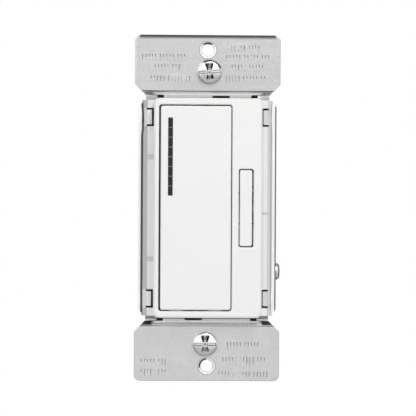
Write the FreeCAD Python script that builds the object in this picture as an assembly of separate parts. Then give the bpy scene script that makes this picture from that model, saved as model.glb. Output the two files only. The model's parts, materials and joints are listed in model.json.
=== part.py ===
"""Accessory dimmer switch for a wall box, in millimetres.

X is right and Z is up as seen from the room, and Y runs into the wall.
The origin is on the back plane of the strap ears, midway between the two box screws.
"""

import FreeCAD
import Part
import math
import os

# Strap, one sheet with two ears and a pan set back between them
strap_height = 106.1
ear_width = 44.6
ear_corner = 1.9
shoulder_height = 75.8
pan_width = 37.8
sheet = 1.3
joggle = 1.7
bend_height = 71.6
bend_run = 0.6
corner_bend_run = 1.1
tongue_width = 32.6
edge_break = 0.25

# Box screws and the slots that they float in
box_screw_spacing = 83.34
box_slot_length = 5.5
box_slot_height = 4.0
box_screw_shifts = (0.47, -0.47)
box_screw_width = 3.5
box_screw_neck = 3.0
box_neck_clearance = 0.4
box_screw_length = 25.4
box_head_width = 7.5
box_head_rise = 1.8
driver_slot = 0.9
driver_depth = 1.0
slot_rim = 0.3
retainer_size = 8.2
retainer_thickness = 0.8

# Wall plate screw holes, each drawn through into a short collar
plate_screw_spacing = 96.84
plate_hole = 3.7
collar_wall = 0.65
collar_depth = 0.9
collar_edge = 0.35

# Holes in the neck of the strap, beside the faceplate
hook_hole = 1.95
hook_hole_spacing = 28.8
hook_hole_reach = 69.4
hook_ramp_length = 2.6
hook_ramp_depth = 0.8
neck_slot_width = 5.3
neck_slot_height = 1.3
neck_slot_shift = 4.1
neck_slot_reach = 68.2

# Faceplate frame
projection = 8.0
frame_width = 33.0
frame_height = 66.8
frame_corner = 1.7
frame_edge = 0.5
face_wall = 1.4
side_wall = 1.2
left_border = 1.6
end_border = 2.0
paddle_opening_width = 22.25
opening_corner = 0.9
opening_edge = 0.3
web_width = 2.05
rocker_opening_width = 4.5
rocker_opening_height = 23.8
rocker_corner = 0.7

# Skirt along both sides of the frame
skirt_width = 40.2
skirt_height = 66.0
skirt_set_back = 5.6
groove_width = 1.95
skirt_edge_height = 1.0
skirt_edge_lean = 0.4
waist_depth = 0.55
waist_height = 55.0
waist_length = 7.0
slit = 0.45
tab_height = 5.5
tab_middle = 27.75
tab_width = 1.7
hook_thickness = 1.2
hook_offset = 0.1
hook_height = 3.7
hook_nose = 0.9
hook_nose_depth = 1.25
hook_nose_flat = 0.5
notch_clearance = 0.4
left_rib_height = 1.75
left_rib_spacing = 31.4
right_rib_height = 2.8
rib_rise = 0.6

# Tap paddle
paddle_gap_left = 0.5
paddle_gap_right = 0.3
paddle_gap_end = 0.4
paddle_skirt = 3.4
paddle_wall = 1.0
paddle_edge = 0.35
hinge_from_top = 2.6
hinge_depth = 3.7
hinge_pin = 2.0
hinge_ear = 1.2
hinge_ear_reach = 1.5
catch_width = 4.0
catch_spacing = 12.0
catch_reach = 1.0
catch_thickness = 1.0
catch_gap = 0.06
paddle_rib_heights = (0.2, -14.2)

# Light bar
light_from_edge = 2.96
light_width = 1.35
light_bottom = 3.7
light_height = 23.7
light_count = 8
light_groove = 0.3
light_groove_depth = 0.15
light_set_in = 0.08
light_flange = 0.5
light_flange_thickness = 0.6
guide_gap = 1.0
guide_groove_depth = 2.6
guide_flange_thickness = 1.0
guide_flange_reach = 1.0
guide_inset = 0.6
guide_fit = 0.4
guide_end_gap = 0.3
guide_leg_gap = 0.9
led_length = 1.6
led_width = 0.8
led_thickness = 0.6

# Dimming rocker
rocker_gap_left = 0.3
rocker_gap_right = 0.45
rocker_gap_end = 0.35
rocker_edge = 0.3
rocker_body_depth = 2.8
rocker_pivot_depth = 3.4
rocker_pin = 1.6
rocker_pin_length = 1.2
rocker_hub_reach = 1.4

# Carrier for paddle and rocker
carrier_plate = 1.2
carrier_clearance = 0.1
post_thickness = 1.3
post_reach = 1.3
running_fit = 0.05
post_side_gap = 0.12
snap_slot_share = 0.8
peg_width = 2.0
peg_spacing = 52.0
peg_shift = 0.5

# Push switches
tap_switch_height = 5.0
dim_switch_spacing = 16.0
switch_size = 6.0
switch_body_depth = 3.25
switch_cover_sheet = 0.25
switch_window_margin = 0.5
plunger_width = 3.4
plunger_flange = 4.6
plunger_flange_thickness = 0.4
plunger_cavity = 4.8
plunger_cavity_depth = 1.6
plunger_lead = 2.7
dim_travel = 0.42
nib_width = 2.4
nib_taper = 0.3
nib_gap = 0.05

# Boards and sheet
insulation_thickness = 0.3
insulation_width = 31.4
insulation_height = 70.6
board_stand_off = 1.9
board_thickness = 1.2
board_width = 34.0
board_height = 54.0
power_board_depth = 14.3
power_board_thickness = 1.6
power_board_width = 31.6

# Rear housing
housing_width = 42.4
housing_height = 65.4
housing_depth = 28.6
housing_wall = 1.8
housing_draft = 0.6
housing_corner = 1.6
housing_back_edge = 0.9
strap_fit = 0.15
rim_ledge_width = 1.1
rim_ledge_thickness = 1.5
board_rest_heights = (14.0, -10.0)
board_rest_width = 2.0
board_rest_overlap = 0.7
end_rib_spacing = 7.0
end_rib_width = 1.6
end_rib_overlap = 0.8
boss_spacing = 56.0
boss_fit = 0.2
boss_width = 5.0
housing_screw = 2.7
housing_screw_head = 4.8
housing_head_rise = 1.6
housing_screw_fit = 0.15
head_recess_fit = 0.3
head_recess_cover = 0.3
label_recess = (26.0, 34.0)
strip_gauge = (12.7, 1.2)
strip_gauge_height = 20.8
back_relief = 0.4

# Wire terminals
terminal_places = (
    ("line_terminal", -1, 4.0),
    ("traveler_terminal", -1, -20.0),
    ("neutral_terminal", 1, -20.0),
)
open_terminal = "neutral_terminal"
open_distance = 3.0
open_clamp_distance = 0.9
pocket_height = 9.0
pocket_length = 8.0
pocket_depth = 4.6
pocket_wall = 1.2
terminal_sheet = 1.0
terminal_plate_height = 7.2
terminal_tab_height = 3.0
terminal_tab_reach = 4.6
clamp_sheet = 0.8
clamp_gap = 0.3
clamp_size = 6.4
terminal_screw = 3.8
terminal_screw_reach = 6.5
terminal_head = 5.4
terminal_head_rise = 1.9
terminal_fit = 0.15
screw_clearance = 0.3
wire_hole = 3.2
wire_hole_spacing = 4.9

# Ground bracket and screw under the bottom ear
bracket_from_side = 9.8
bracket_width = 7.0
bracket_sheet = 1.2
bracket_flange = 4.5
bracket_leg = 10.0
bracket_from_bend = 0.3
ground_screw = 3.8
ground_screw_length = 4.0
ground_head = 6.4
ground_head_rise = 1.8
ground_screw_depth = 5.8

# Parts on the boards
chip_size = 7.0
chip_thickness = 1.0
chip_place = (-3.0, -9.0)
lead_count = 5
lead_pitch = 1.1
lead_width = 0.4
lead_reach = 1.0
lead_thickness = 0.2
chip_resistor_size = (1.6, 0.8, 0.5)
chip_resistor_count = 5
chip_resistor_pitch = 2.4
chip_resistor_place = (6.0, -20.0)
header_pins = 5
header_pitch = 2.54
header_pin = 0.64
header_base = 2.5
header_height = 23.2
header_fit = 0.15
pin_through = 0.8
film_capacitor_size = (13.0, 9.3, 6.0)
film_capacitor_place = (-5.0, 16.0)
film_capacitor_round = 0.6
can_width = 8.0
can_height = 9.2
can_place = (8.5, 14.5)
varistor_width = 9.0
varistor_thickness = 3.6
varistor_stand_off = 0.6
varistor_wire_pitch = 4.5
varistor_place = (-6.0, -9.5)
choke_width = 9.0
choke_height = 8.0
choke_place = (5.5, -2.0)
rectifier_size = (8.0, 3.2, 6.4)
rectifier_place = (5.0, -14.0)
optocoupler_size = (6.5, 3.5, 4.6)
optocoupler_place = (-3.0, -21.0)
resistor_width = 4.0
resistor_length = 11.0
resistor_stand_off = 0.8
resistor_place = (13.0, 1.0)
wire_width = 0.8

# Levels along Y
ear_back = 0.0
ear_front = -sheet
pan_back = joggle
pan_front = joggle - sheet
face = -projection
face_back = face + face_wall
skirt_front = face + skirt_set_back
carrier_front = pan_front - carrier_plate
board_front = pan_back + board_stand_off
board_back = board_front + board_thickness
switch_front = board_front - switch_body_depth
cover_front = switch_front - switch_cover_sheet
plunger_front = cover_front - plunger_lead
nib_tip = plunger_front - nib_gap
power_front = pan_back + power_board_depth
power_back = power_front + power_board_thickness
housing_front = pan_front
housing_back = housing_front + housing_depth
pocket_back = housing_back - housing_wall
pocket_front = pocket_back - pocket_length
pocket_middle = (pocket_front + pocket_back) / 2

# Places across X
frame_left = -frame_width / 2
frame_right = frame_width / 2
paddle_opening_left = frame_left + left_border
paddle_opening_right = paddle_opening_left + paddle_opening_width
rocker_opening_left = paddle_opening_right + web_width
rocker_opening_right = rocker_opening_left + rocker_opening_width
cavity_right = frame_right - side_wall
paddle_left = paddle_opening_left + paddle_gap_left
paddle_right = paddle_opening_right - paddle_gap_right
paddle_middle = (paddle_left + paddle_right) / 2
rocker_left = rocker_opening_left + rocker_gap_left
rocker_right = rocker_opening_right - rocker_gap_right
rocker_middle = (rocker_left + rocker_right) / 2
light_middle = paddle_left + light_from_edge
pocket_floor = housing_width / 2 - pocket_depth
bracket_middle = bracket_from_side - ear_width / 2

# Places along Z
opening_top = frame_height / 2 - end_border
cavity_top = frame_height / 2 - side_wall
paddle_top = opening_top - paddle_gap_end
rocker_top = rocker_opening_height / 2 - rocker_gap_end
hinge_height = paddle_top - hinge_from_top
hinge_level = face + hinge_depth
rocker_level = face + rocker_pivot_depth
light_top = light_bottom + light_height
light_pitch = light_height / light_count
guide_bottom = light_bottom + guide_inset
guide_top = light_top - guide_inset

# The three push switches: name, x, z, and how far the plunger is pressed at rest
switches = (
    ("tap_switch", paddle_middle, tap_switch_height, 0.0),
    ("raise_switch", rocker_middle, dim_switch_spacing / 2, dim_travel),
    ("lower_switch", rocker_middle, -dim_switch_spacing / 2, dim_travel),
)

# Enough for a cutter to pass clear of the face that it opens
through = 1.0
touching = 1e-6


def vector(x, y, z):
    return FreeCAD.Vector(x, y, z)


def block(x, y, z):
    """Box from three (low, high) pairs."""
    size = [high - low for low, high in (x, y, z)]
    return Part.makeBox(*size, vector(x[0], y[0], z[0]))


def centred(middle, size):
    """The (low, high) pair of a size about its middle."""
    return (middle - size / 2, middle + size / 2)


def rod(width, start, end):
    """Cylinder of a diameter between two points."""
    start = vector(*start)
    along = vector(*end) - start
    return Part.makeCylinder(width / 2, along.Length, start, along)


def rounded_wire(corners, place):
    """Closed wire through (u, v, radius) corners, where place turns u and v into a point."""
    rounded = []
    for index, (u, v, radius) in enumerate(corners):
        here = place(u, v)
        back = (place(*corners[index - 1][:2]) - here).normalize()
        ahead = (place(*corners[(index + 1) % len(corners)][:2]) - here).normalize()
        if radius == 0:
            rounded.append((here, None, here))
            continue
        half_angle = back.getAngle(ahead) / 2
        reach = radius / math.tan(half_angle)
        inward = (back + ahead).normalize()
        middle = here + inward * (radius / math.sin(half_angle) - radius)
        rounded.append((here + back * reach, middle, here + ahead * reach))
    edges = []
    for index, (start, middle, end) in enumerate(rounded):
        if middle is not None:
            edges.append(Part.Arc(start, middle, end).toShape())
        following = rounded[(index + 1) % len(rounded)][0]
        if (following - end).Length > touching:
            edges.append(Part.makeLine(end, following))
    return Part.Wire(edges)


def plan_prism(corners, levels):
    """Solid with an outline in X and Z, between two levels of Y."""
    wire = rounded_wire(corners, lambda x, z: vector(x, levels[0], z))
    return Part.Face(wire).extrude(vector(0, levels[1] - levels[0], 0))


def side_prism(corners, span):
    """Solid with an outline in Y and Z, between two values of X."""
    wire = rounded_wire(corners, lambda y, z: vector(span[0], y, z))
    return Part.Face(wire).extrude(vector(span[1] - span[0], 0, 0))


def level_prism(corners, span):
    """Solid with an outline in X and Y, between two values of Z."""
    wire = rounded_wire(corners, lambda x, y: vector(x, y, span[0]))
    return Part.Face(wire).extrude(vector(0, 0, span[1] - span[0]))


def rectangle(x, z, radius):
    """Corners of a rectangle from two (low, high) pairs."""
    return [(x[0], z[0], radius), (x[1], z[0], radius), (x[1], z[1], radius), (x[0], z[1], radius)]


def mirrored(shape, across):
    """Copy of a shape on the other side of the X = 0 or the Z = 0 plane."""
    normal = vector(1, 0, 0) if across == "x" else vector(0, 0, 1)
    return shape.mirror(vector(0, 0, 0), normal)


def four_ways(shape):
    """A shape and its copies in the other three quarters of the front."""
    pair = [shape, mirrored(shape, "x")]
    return pair + [mirrored(each, "z") for each in pair]


def edges_at(shape, level, x, z):
    """Edges that lie in one level of Y and inside two (low, high) pairs."""
    found = []
    for edge in shape.Edges:
        box = edge.BoundBox
        flat = abs(box.YMin - level) < touching and abs(box.YMax - level) < touching
        across = box.XMin > x[0] - touching and box.XMax < x[1] + touching
        upright = box.ZMin > z[0] - touching and box.ZMax < z[1] + touching
        if flat and across and upright:
            found.append(edge)
    return found


def strap_section(run, span):
    """The joggled sheet seen from the side, with the bend drawn out over a run."""
    top = strap_height / 2
    bend = bend_height / 2
    lean = math.atan2(joggle, run)
    shift = sheet * math.tan(lean / 2)
    front = [(ear_front, top), (ear_front, bend), (pan_front, bend - run)]
    back = [(pan_back, bend - run + shift), (ear_back, bend + shift), (ear_back, top)]
    upper = front + [(y, -z) for y, z in reversed(front)]
    lower = [(y, -z) for y, z in reversed(back)] + back
    return side_prism([(y, z, 0) for y, z in upper + lower], span)


def strap_outline():
    """Ears, shoulders that narrow at 45 degrees, and the pan between them."""
    ear = ear_width / 2
    pan = pan_width / 2
    shoulder = shoulder_height / 2
    neck = shoulder - (ear - pan)
    quarter = [(ear, strap_height / 2, ear_corner), (ear, shoulder, 0), (pan, neck, 0)]
    right = quarter + [(x, -z, radius) for x, z, radius in reversed(quarter)]
    left = [(-x, z, radius) for x, z, radius in reversed(right)]
    return plan_prism(right + left, (ear_front - through, pan_back + through))


def strap_cutters():
    """Everything that is punched out of the strap."""
    levels = (ear_front - through, pan_back + through)
    cutters = []
    for side in (1, -1):
        height = side * box_screw_spacing / 2
        wide = centred(0, box_slot_length)
        slot = rectangle(wide, centred(height, box_slot_height), box_slot_height / 2)
        cutters.append(plan_prism(slot, levels))
        height = side * plate_screw_spacing / 2
        cutters.append(rod(plate_hole, (0, levels[0], height), (0, levels[1], height)))
        slot_end = side * neck_slot_reach / 2
        slot_start = slot_end - side * neck_slot_height
        heights = (min(slot_start, slot_end), max(slot_start, slot_end))
        cutters.append(block(centred(side * neck_slot_shift, neck_slot_width), levels, heights))
    cutters += four_ways(hook_hole_cutter(levels))
    cutters += four_ways(tab_notch(levels))
    cutters += [block(*switch_window(x, z, levels)) for _, x, z, _ in switches]
    cutters.append(block(*light_window(levels)))
    for x, z in boss_places():
        cutters.append(rod(housing_screw + 2 * running_fit, (x, levels[0], z), (x, levels[1], z)))
    for x, z in peg_places():
        size = peg_width + 2 * running_fit
        cutters.append(block(centred(x, size), levels, centred(z, size)))
    return cutters


def hook_hole_cutter(levels):
    """Square hole in the neck, with a ramp that runs out towards the side."""
    top = hook_hole_reach / 2
    heights = (top - hook_hole, top)
    inner, outer = centred(hook_hole_spacing / 2, hook_hole)
    hole = block((inner, outer), levels, heights)
    ramp = [
        (outer, pan_front - through, 0),
        (outer + hook_ramp_length, pan_front - through, 0),
        (outer + hook_ramp_length, pan_front, 0),
        (outer, pan_front + hook_ramp_depth, 0),
    ]
    return hole.fuse(level_prism(ramp, heights))


def tab_notch(levels):
    """Notch in the side of the pan that a snap hook passes through."""
    inner = frame_right + slit + hook_offset - notch_clearance
    heights = centred(tab_middle, tab_height + slit)
    return block((inner, pan_width / 2 + through), levels, heights)


def switch_window(x, z, levels):
    """Opening that a push switch stands in."""
    size = switch_size + 2 * switch_cover_sheet + switch_window_margin
    return centred(x, size), levels, centred(z, size)


def light_window(levels):
    """Opening that the light guide passes through."""
    width = light_width + 2 * guide_fit
    return centred(light_middle, width), levels, (guide_bottom - guide_fit, guide_top + guide_fit)


def boss_places():
    return [(0, side * boss_spacing / 2) for side in (-1, 1)]


def peg_places():
    return [(paddle_middle + peg_shift, z * peg_spacing / 2) for z in (-1, 1)]


def mounting_strap():
    """Joggled sheet with punched openings and a drawn collar round each wall plate hole."""
    half_tongue = tongue_width / 2
    body = strap_section(bend_run, (-half_tongue, half_tongue))
    for span in ((-ear_width / 2, -half_tongue), (half_tongue, ear_width / 2)):
        body = body.fuse(strap_section(corner_bend_run, span))
    body = body.common(strap_outline()).removeSplitter()
    collars = []
    for side in (1, -1):
        height = side * plate_screw_spacing / 2
        collars.append(rod(plate_hole + 2 * collar_wall, (0, ear_front, height), (0, collar_depth, height)))
    body = body.fuse(collars).cut(strap_cutters())
    return rounded_strap_edges(body.removeSplitter())


def rounded_strap_edges(body):
    """The broken lip of each wall plate hole, and a broken edge round each ear."""
    lips = []
    for side in (1, -1):
        height = side * plate_screw_spacing / 2
        lips += edges_at(body, ear_front, centred(0, plate_hole), centred(height, plate_hole))
    body = body.makeChamfer(collar_edge, lips)
    rims = []
    for edge in edges_at(body, ear_front, (-ear_width, ear_width), (-strap_height, strap_height)):
        box = edge.BoundBox
        beyond_bend = min(abs(box.ZMin), abs(box.ZMax)) > shoulder_height / 2 - touching
        outer = max(abs(box.XMin), abs(box.XMax)) > ear_width / 2 - ear_corner - touching
        if beyond_bend and outer:
            rims.append(edge)
    return body.makeChamfer(edge_break, rims)


def box_screws():
    """Heads with a slot and a cross recess, and a neck that the retainers grip."""
    solids = []
    for side, shift in zip((1, -1), box_screw_shifts):
        seat = (shift, ear_front, side * box_screw_spacing / 2)
        neck = sheet + retainer_thickness + box_neck_clearance
        stretches = ((box_screw_neck, neck), (box_screw_width, box_screw_length - neck))
        screw = slotted_screw(seat, (0, 1, 0), (1, 0, 0), box_head_width, box_head_rise, stretches)
        solids.append(screw.cut(driver_cut(seat, (0, 1, 0), (0, 0, 1), box_head_width, box_head_rise)))
    return solids


def driver_cut(seat, along, reach, head, rise):
    """Cutter for one driver slot across the middle of a head."""
    seat = vector(*seat)
    along = vector(*along)
    reach = vector(*reach)
    wide = along.cross(reach)
    corner = seat - along * (rise + through) - reach * (head / 2 - slot_rim) - wide * (driver_slot / 2)
    edge = Part.makeLine(corner, corner + reach * (head - 2 * slot_rim))
    return edge.extrude(wide * driver_slot).extrude(along * (driver_depth + through))


def slotted_screw(seat, along, reach, head, rise, stretches):
    """Flat head that stands on its seat, with one driver slot, and (width, length) stretches of shank."""
    base = vector(*seat)
    direction = vector(*along)
    screw = Part.makeCylinder(head / 2, rise, base - direction * rise, direction)
    for width, length in stretches:
        screw = screw.fuse(Part.makeCylinder(width / 2, length, base, direction))
        base = base + direction * length
    return screw.cut(driver_cut(seat, along, reach, head, rise))


def screw_retainers():
    """Fibre washers that keep the box screws in their slots."""
    solids = []
    for side, shift in zip((1, -1), box_screw_shifts):
        height = side * box_screw_spacing / 2
        levels = (ear_back, ear_back + retainer_thickness)
        washer = block(centred(shift, retainer_size), levels, centred(height, retainer_size))
        hole_width = box_screw_neck + 2 * running_fit
        hole = rod(hole_width, (shift, levels[0], height), (shift, levels[1], height))
        solids.append(washer.cut(hole))
    return solids


def skirt_side():
    """Right skirt: a flat groove beside the frame, a band that slopes down, and a leaning outer edge."""
    outer = skirt_width / 2
    inner = frame_right - side_wall
    top = skirt_height / 2
    section = [
        (inner, pan_front, 0),
        (outer, pan_front, 0),
        (outer - skirt_edge_lean, pan_front - skirt_edge_height, 0),
        (frame_right + groove_width, skirt_front, 0),
        (inner, skirt_front, 0),
    ]
    body = level_prism(section, (-top, top))
    waist = waist_height / 2
    plan = [
        (inner, top), (outer, top), (outer - waist_depth, waist), (outer, waist - waist_length / 2),
    ]
    right = [(x, z, 0) for x, z in plan]
    lower = [(x, -z, 0) for x, z in reversed(plan)]
    return body.common(plan_prism(right + lower, (skirt_front - through, pan_front + through)))


def snap_slits():
    """The U of slits that frees the upper right snap tab on three sides."""
    levels = (skirt_front - through, pan_front + through)
    reach = (frame_right, frame_right + slit + tab_width)
    upright = block((frame_right, frame_right + slit), levels, centred(tab_middle, tab_height))
    cutters = [upright]
    for side in (1, -1):
        middle = tab_middle + side * (tab_height - slit) / 2
        cutters.append(block(reach, levels, centred(middle, slit)))
    return cutters


def snap_hook():
    """Leg and nose of the upper right snap tab, which catches behind the strap."""
    inner = frame_right + slit + hook_offset
    heights = centred(tab_middle, hook_height)
    nose_level = pan_back + running_fit
    section = [
        (inner, skirt_front + side_wall / 2, 0),
        (inner + hook_thickness, skirt_front + side_wall / 2, 0),
        (inner + hook_thickness, nose_level + hook_nose_depth, 0),
        (inner, nose_level + hook_nose_depth, 0),
        (inner - hook_nose, nose_level + hook_nose_flat, 0),
        (inner - hook_nose, nose_level, 0),
        (inner, nose_level, 0),
    ]
    return level_prism(section, heights)


def groove_ribs():
    """Two short ribs in the left groove and one in the right groove."""
    levels = (skirt_front - rib_rise, skirt_front)
    left = (frame_left - groove_width, frame_left)
    ribs = [
        block(left, levels, centred(side * left_rib_spacing / 2, left_rib_height)) for side in (1, -1)
    ]
    ribs.append(block((frame_right, frame_right + groove_width), levels, centred(0, right_rib_height)))
    return ribs


def carrier_stops():
    """Ribs inside the frame that hold the carrier down on the strap."""
    stops = []
    reach = (cavity_top - paddle_gap_end - catch_reach / 2, cavity_top)
    for x in (paddle_left + paddle_wall, paddle_middle, rocker_middle):
        stop = block(centred(x, side_wall), (face_back, carrier_front), reach)
        stops += [stop, mirrored(stop, "z")]
    return stops


def faceplate_frame():
    """Moulded frame: front wall with two openings, side walls, skirts and four snap tabs."""
    wide = (frame_left, frame_right)
    tall = centred(0, frame_height)
    body = plan_prism(rectangle(wide, tall, frame_corner), (face, pan_front))
    body = body.makeChamfer(frame_edge, edges_at(body, face, wide, tall))
    skirt = skirt_side()
    body = body.fuse([skirt, mirrored(skirt, "x")])
    cavity = block(
        (paddle_opening_left, cavity_right), (face_back, pan_front + through), centred(0, 2 * cavity_top)
    )
    levels = (face - through, face_back + through)
    paddle_corners = rectangle(
        (paddle_opening_left, paddle_opening_right), centred(0, 2 * opening_top), opening_corner
    )
    rocker_corners = rectangle(
        (rocker_opening_left, rocker_opening_right), centred(0, rocker_opening_height), rocker_corner
    )
    body = body.cut([cavity, plan_prism(paddle_corners, levels), plan_prism(rocker_corners, levels)])
    inside = (paddle_opening_left, rocker_opening_right)
    body = body.makeChamfer(opening_edge, edges_at(body, face, inside, centred(0, 2 * opening_top)))
    body = body.fuse(carrier_stops() + groove_ribs())
    slits = [copy for cutter in snap_slits() for copy in four_ways(cutter)]
    body = body.cut(slits).fuse(four_ways(snap_hook()))
    return body.removeSplitter()


def nib(x, z):
    """Tapered square peg behind a button, which presses a plunger."""
    peg = block(centred(x, nib_width), (face_back - face_wall / 2, nib_tip), centred(z, nib_width))
    area = (centred(x, nib_width), centred(z, nib_width))
    return peg.makeChamfer(nib_width * nib_taper, edges_at(peg, nib_tip, *area))


def tap_paddle():
    """Shell with a front plate, side walls, hinge ears, a nib and two catches."""
    wide = (paddle_left, paddle_right)
    tall = centred(0, 2 * paddle_top)
    corner = opening_corner - paddle_gap_right
    body = plan_prism(rectangle(wide, tall, corner), (face, face + paddle_skirt))
    body = body.makeChamfer(paddle_edge, edges_at(body, face, wide, tall))
    hollow = block(
        (paddle_left + paddle_wall, paddle_right - paddle_wall),
        (face_back, face + paddle_skirt + through),
        centred(0, 2 * (paddle_top - paddle_wall)),
    )
    body = body.cut(hollow)
    pieces = [nib(paddle_middle, tap_switch_height)]
    pieces += paddle_ribs() + paddle_catches()
    for x, inward in ((paddle_left, 1), (paddle_right, -1)):
        pieces.append(hinge_ear_and_pin(x, inward))
    return body.fuse(pieces).cut(light_slot()).removeSplitter()


def paddle_ribs():
    """Two cross ribs that stiffen the plate on both sides of the nib."""
    inside = (paddle_left + paddle_wall / 2, paddle_right - paddle_wall / 2)
    light_side = light_middle + light_width / 2 + light_flange + running_fit
    ribs = []
    for z in paddle_rib_heights:
        start = light_side if z + paddle_wall / 2 > light_bottom - 2 * light_flange else inside[0]
        levels = (face_back - running_fit, face + paddle_skirt)
        ribs.append(block((start, inside[1]), levels, centred(z, paddle_wall)))
    return ribs


def paddle_catches():
    """Lugs at the bottom edge that stop behind the front wall of the frame."""
    front = face_back + catch_gap
    levels = (front, front + catch_thickness)
    heights = (-paddle_top - catch_reach, -paddle_top + paddle_wall)
    return [
        block(centred(paddle_middle + side * catch_spacing / 2, catch_width), levels, heights)
        for side in (1, -1)
    ]


def hinge_ear_and_pin(edge, inward):
    """Ear behind one side of the paddle, with a pin that points to the middle."""
    ear_end = edge + inward * hinge_ear
    pin_end = ear_end + inward * (post_side_gap + post_thickness)
    span = (min(edge, ear_end), max(edge, ear_end))
    heights = centred(hinge_height, 2 * hinge_ear_reach)
    stem = block(span, (face_back, hinge_level + hinge_ear_reach), heights)
    pin = rod(hinge_pin, (edge, hinge_level, hinge_height), (pin_end, hinge_level, hinge_height))
    return stem.fuse(pin)


def light_slot():
    """Slot in the paddle that the light bar fills."""
    size = (light_width + 2 * running_fit, light_height + 2 * running_fit)
    levels = (face - through, face_back + through)
    return block(centred(light_middle, size[0]), levels, centred((light_bottom + light_top) / 2, size[1]))


def led_window():
    """Dark bar with a groove between its segments and a flange behind the paddle."""
    middle = (light_bottom + light_top) / 2
    front = face + light_set_in
    bar = block(centred(light_middle, light_width), (front, face_back), centred(middle, light_height))
    flange = block(
        centred(light_middle, light_width + 2 * light_flange),
        (face_back, face_back + light_flange_thickness),
        centred(middle, light_height + 2 * light_flange),
    )
    grooves = []
    for index in range(1, light_count):
        height = light_bottom + index * light_pitch
        grooves.append(block(
            centred(light_middle, light_width + through),
            (front - through, front + light_groove_depth),
            centred(height, light_groove),
        ))
    return bar.fuse(flange).cut(grooves)


def light_guide():
    """Clear comb: a grooved bar towards the window, a flange on the carrier and one leg per light."""
    front = face_back + light_flange_thickness + guide_gap
    seat = carrier_front
    heights = (guide_bottom, guide_top)
    bar = block(centred(light_middle, light_width), (front, seat), heights)
    flange = block(
        centred(light_middle, light_width + 2 * guide_flange_reach),
        (seat - guide_flange_thickness, seat),
        heights,
    )
    grooves = []
    for index in range(1, light_count):
        height = light_bottom + index * light_pitch
        grooves.append(block(
            centred(light_middle, light_width + through),
            (front - through, front + guide_groove_depth),
            centred(height, light_groove),
        ))
    legs = []
    for height in light_heights():
        legs.append(block(
            centred(light_middle, light_width),
            (seat, board_front - led_thickness - guide_end_gap),
            centred(height, light_pitch - guide_leg_gap),
        ))
    return bar.cut(grooves).fuse([flange] + legs).removeSplitter()


def light_heights():
    return [light_bottom + (index + 0.5) * light_pitch for index in range(light_count)]


def status_leds():
    """One chip on the board behind each segment of the light bar."""
    levels = (board_front - led_thickness, board_front)
    return [
        block(centred(light_middle, led_width), levels, centred(height, led_length))
        for height in light_heights()
    ]


def dim_rocker():
    """Narrow rocker with a hub and pins at its middle, and a nib near each end."""
    wide = (rocker_left, rocker_right)
    tall = centred(0, 2 * rocker_top)
    corner = rocker_corner - rocker_gap_left / 2
    body = plan_prism(rectangle(wide, tall, corner), (face, face + rocker_body_depth))
    body = body.makeChamfer(rocker_edge, edges_at(body, face, wide, tall))
    levels = (face + rocker_body_depth / 2, rocker_level + rocker_hub_reach)
    hub = block(wide, levels, centred(0, 2 * rocker_hub_reach))
    pins = rod(
        rocker_pin,
        (rocker_left - rocker_pin_length, rocker_level, 0),
        (rocker_right + rocker_pin_length, rocker_level, 0),
    )
    nibs = [nib(rocker_middle, side * dim_switch_spacing / 2) for side in (1, -1)]
    return body.fuse([hub, pins] + nibs).removeSplitter()


def bearing_post(span, level, height, pin):
    """Post of the carrier with a bore that a pin snaps into from the front."""
    heights = centred(height, 2 * post_reach)
    stem = block(span, (level - post_reach, carrier_front), heights)
    bore_width = pin + 2 * running_fit
    bore = rod(bore_width, (span[0] - through, level, height), (span[1] + through, level, height))
    mouth = block(
        (span[0] - through, span[1] + through),
        (level - post_reach - through, level),
        centred(height, bore_width * snap_slot_share),
    )
    return stem.cut([bore, mouth])


def button_carrier():
    """Plate on the strap with windows, four bearing posts and two locating pegs."""
    wide = (paddle_opening_left + carrier_clearance, cavity_right - carrier_clearance)
    tall = centred(0, 2 * (cavity_top - carrier_clearance))
    levels = (carrier_front, pan_front)
    plate = block(wide, levels, tall)
    cutting = (levels[0] - through, levels[1] + through)
    windows = [block(*switch_window(x, z, cutting)) for _, x, z, _ in switches]
    windows.append(block(*light_window(cutting)))
    plate = plate.cut(windows)
    ear = hinge_ear + post_side_gap
    left = paddle_left + ear
    right = paddle_right - ear
    posts = [
        bearing_post((left, left + post_thickness), hinge_level, hinge_height, hinge_pin),
        bearing_post((right - post_thickness, right), hinge_level, hinge_height, hinge_pin),
    ]
    inner = rocker_left - post_side_gap
    outer = rocker_right + post_side_gap
    posts.append(bearing_post((inner - post_thickness, inner), rocker_level, 0, rocker_pin))
    posts.append(bearing_post((outer, outer + post_thickness), rocker_level, 0, rocker_pin))
    levels = (pan_front, pan_back)
    pegs = [block(centred(x, peg_width), levels, centred(z, peg_width)) for x, z in peg_places()]
    return plate.fuse(posts + pegs).removeSplitter()


def insulation_sheet():
    """Sheet behind the strap with the same windows."""
    levels = (pan_back, pan_back + insulation_thickness)
    cutting = (levels[0] - through, levels[1] + through)
    body = block(centred(0, insulation_width), levels, centred(0, insulation_height))
    cutters = [block(*switch_window(x, z, cutting)) for _, x, z, _ in switches]
    cutters.append(block(*light_window(cutting)))
    return body.cut(cutters + boss_holes(cutting))


def switch_body(x, z):
    """Base of a push switch, with the chamber that its plunger moves in."""
    base = block(centred(x, switch_size), (switch_front, board_front), centred(z, switch_size))
    levels = (switch_front - through, switch_front + plunger_cavity_depth)
    return base.cut(block(centred(x, plunger_cavity), levels, centred(z, plunger_cavity)))


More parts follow.
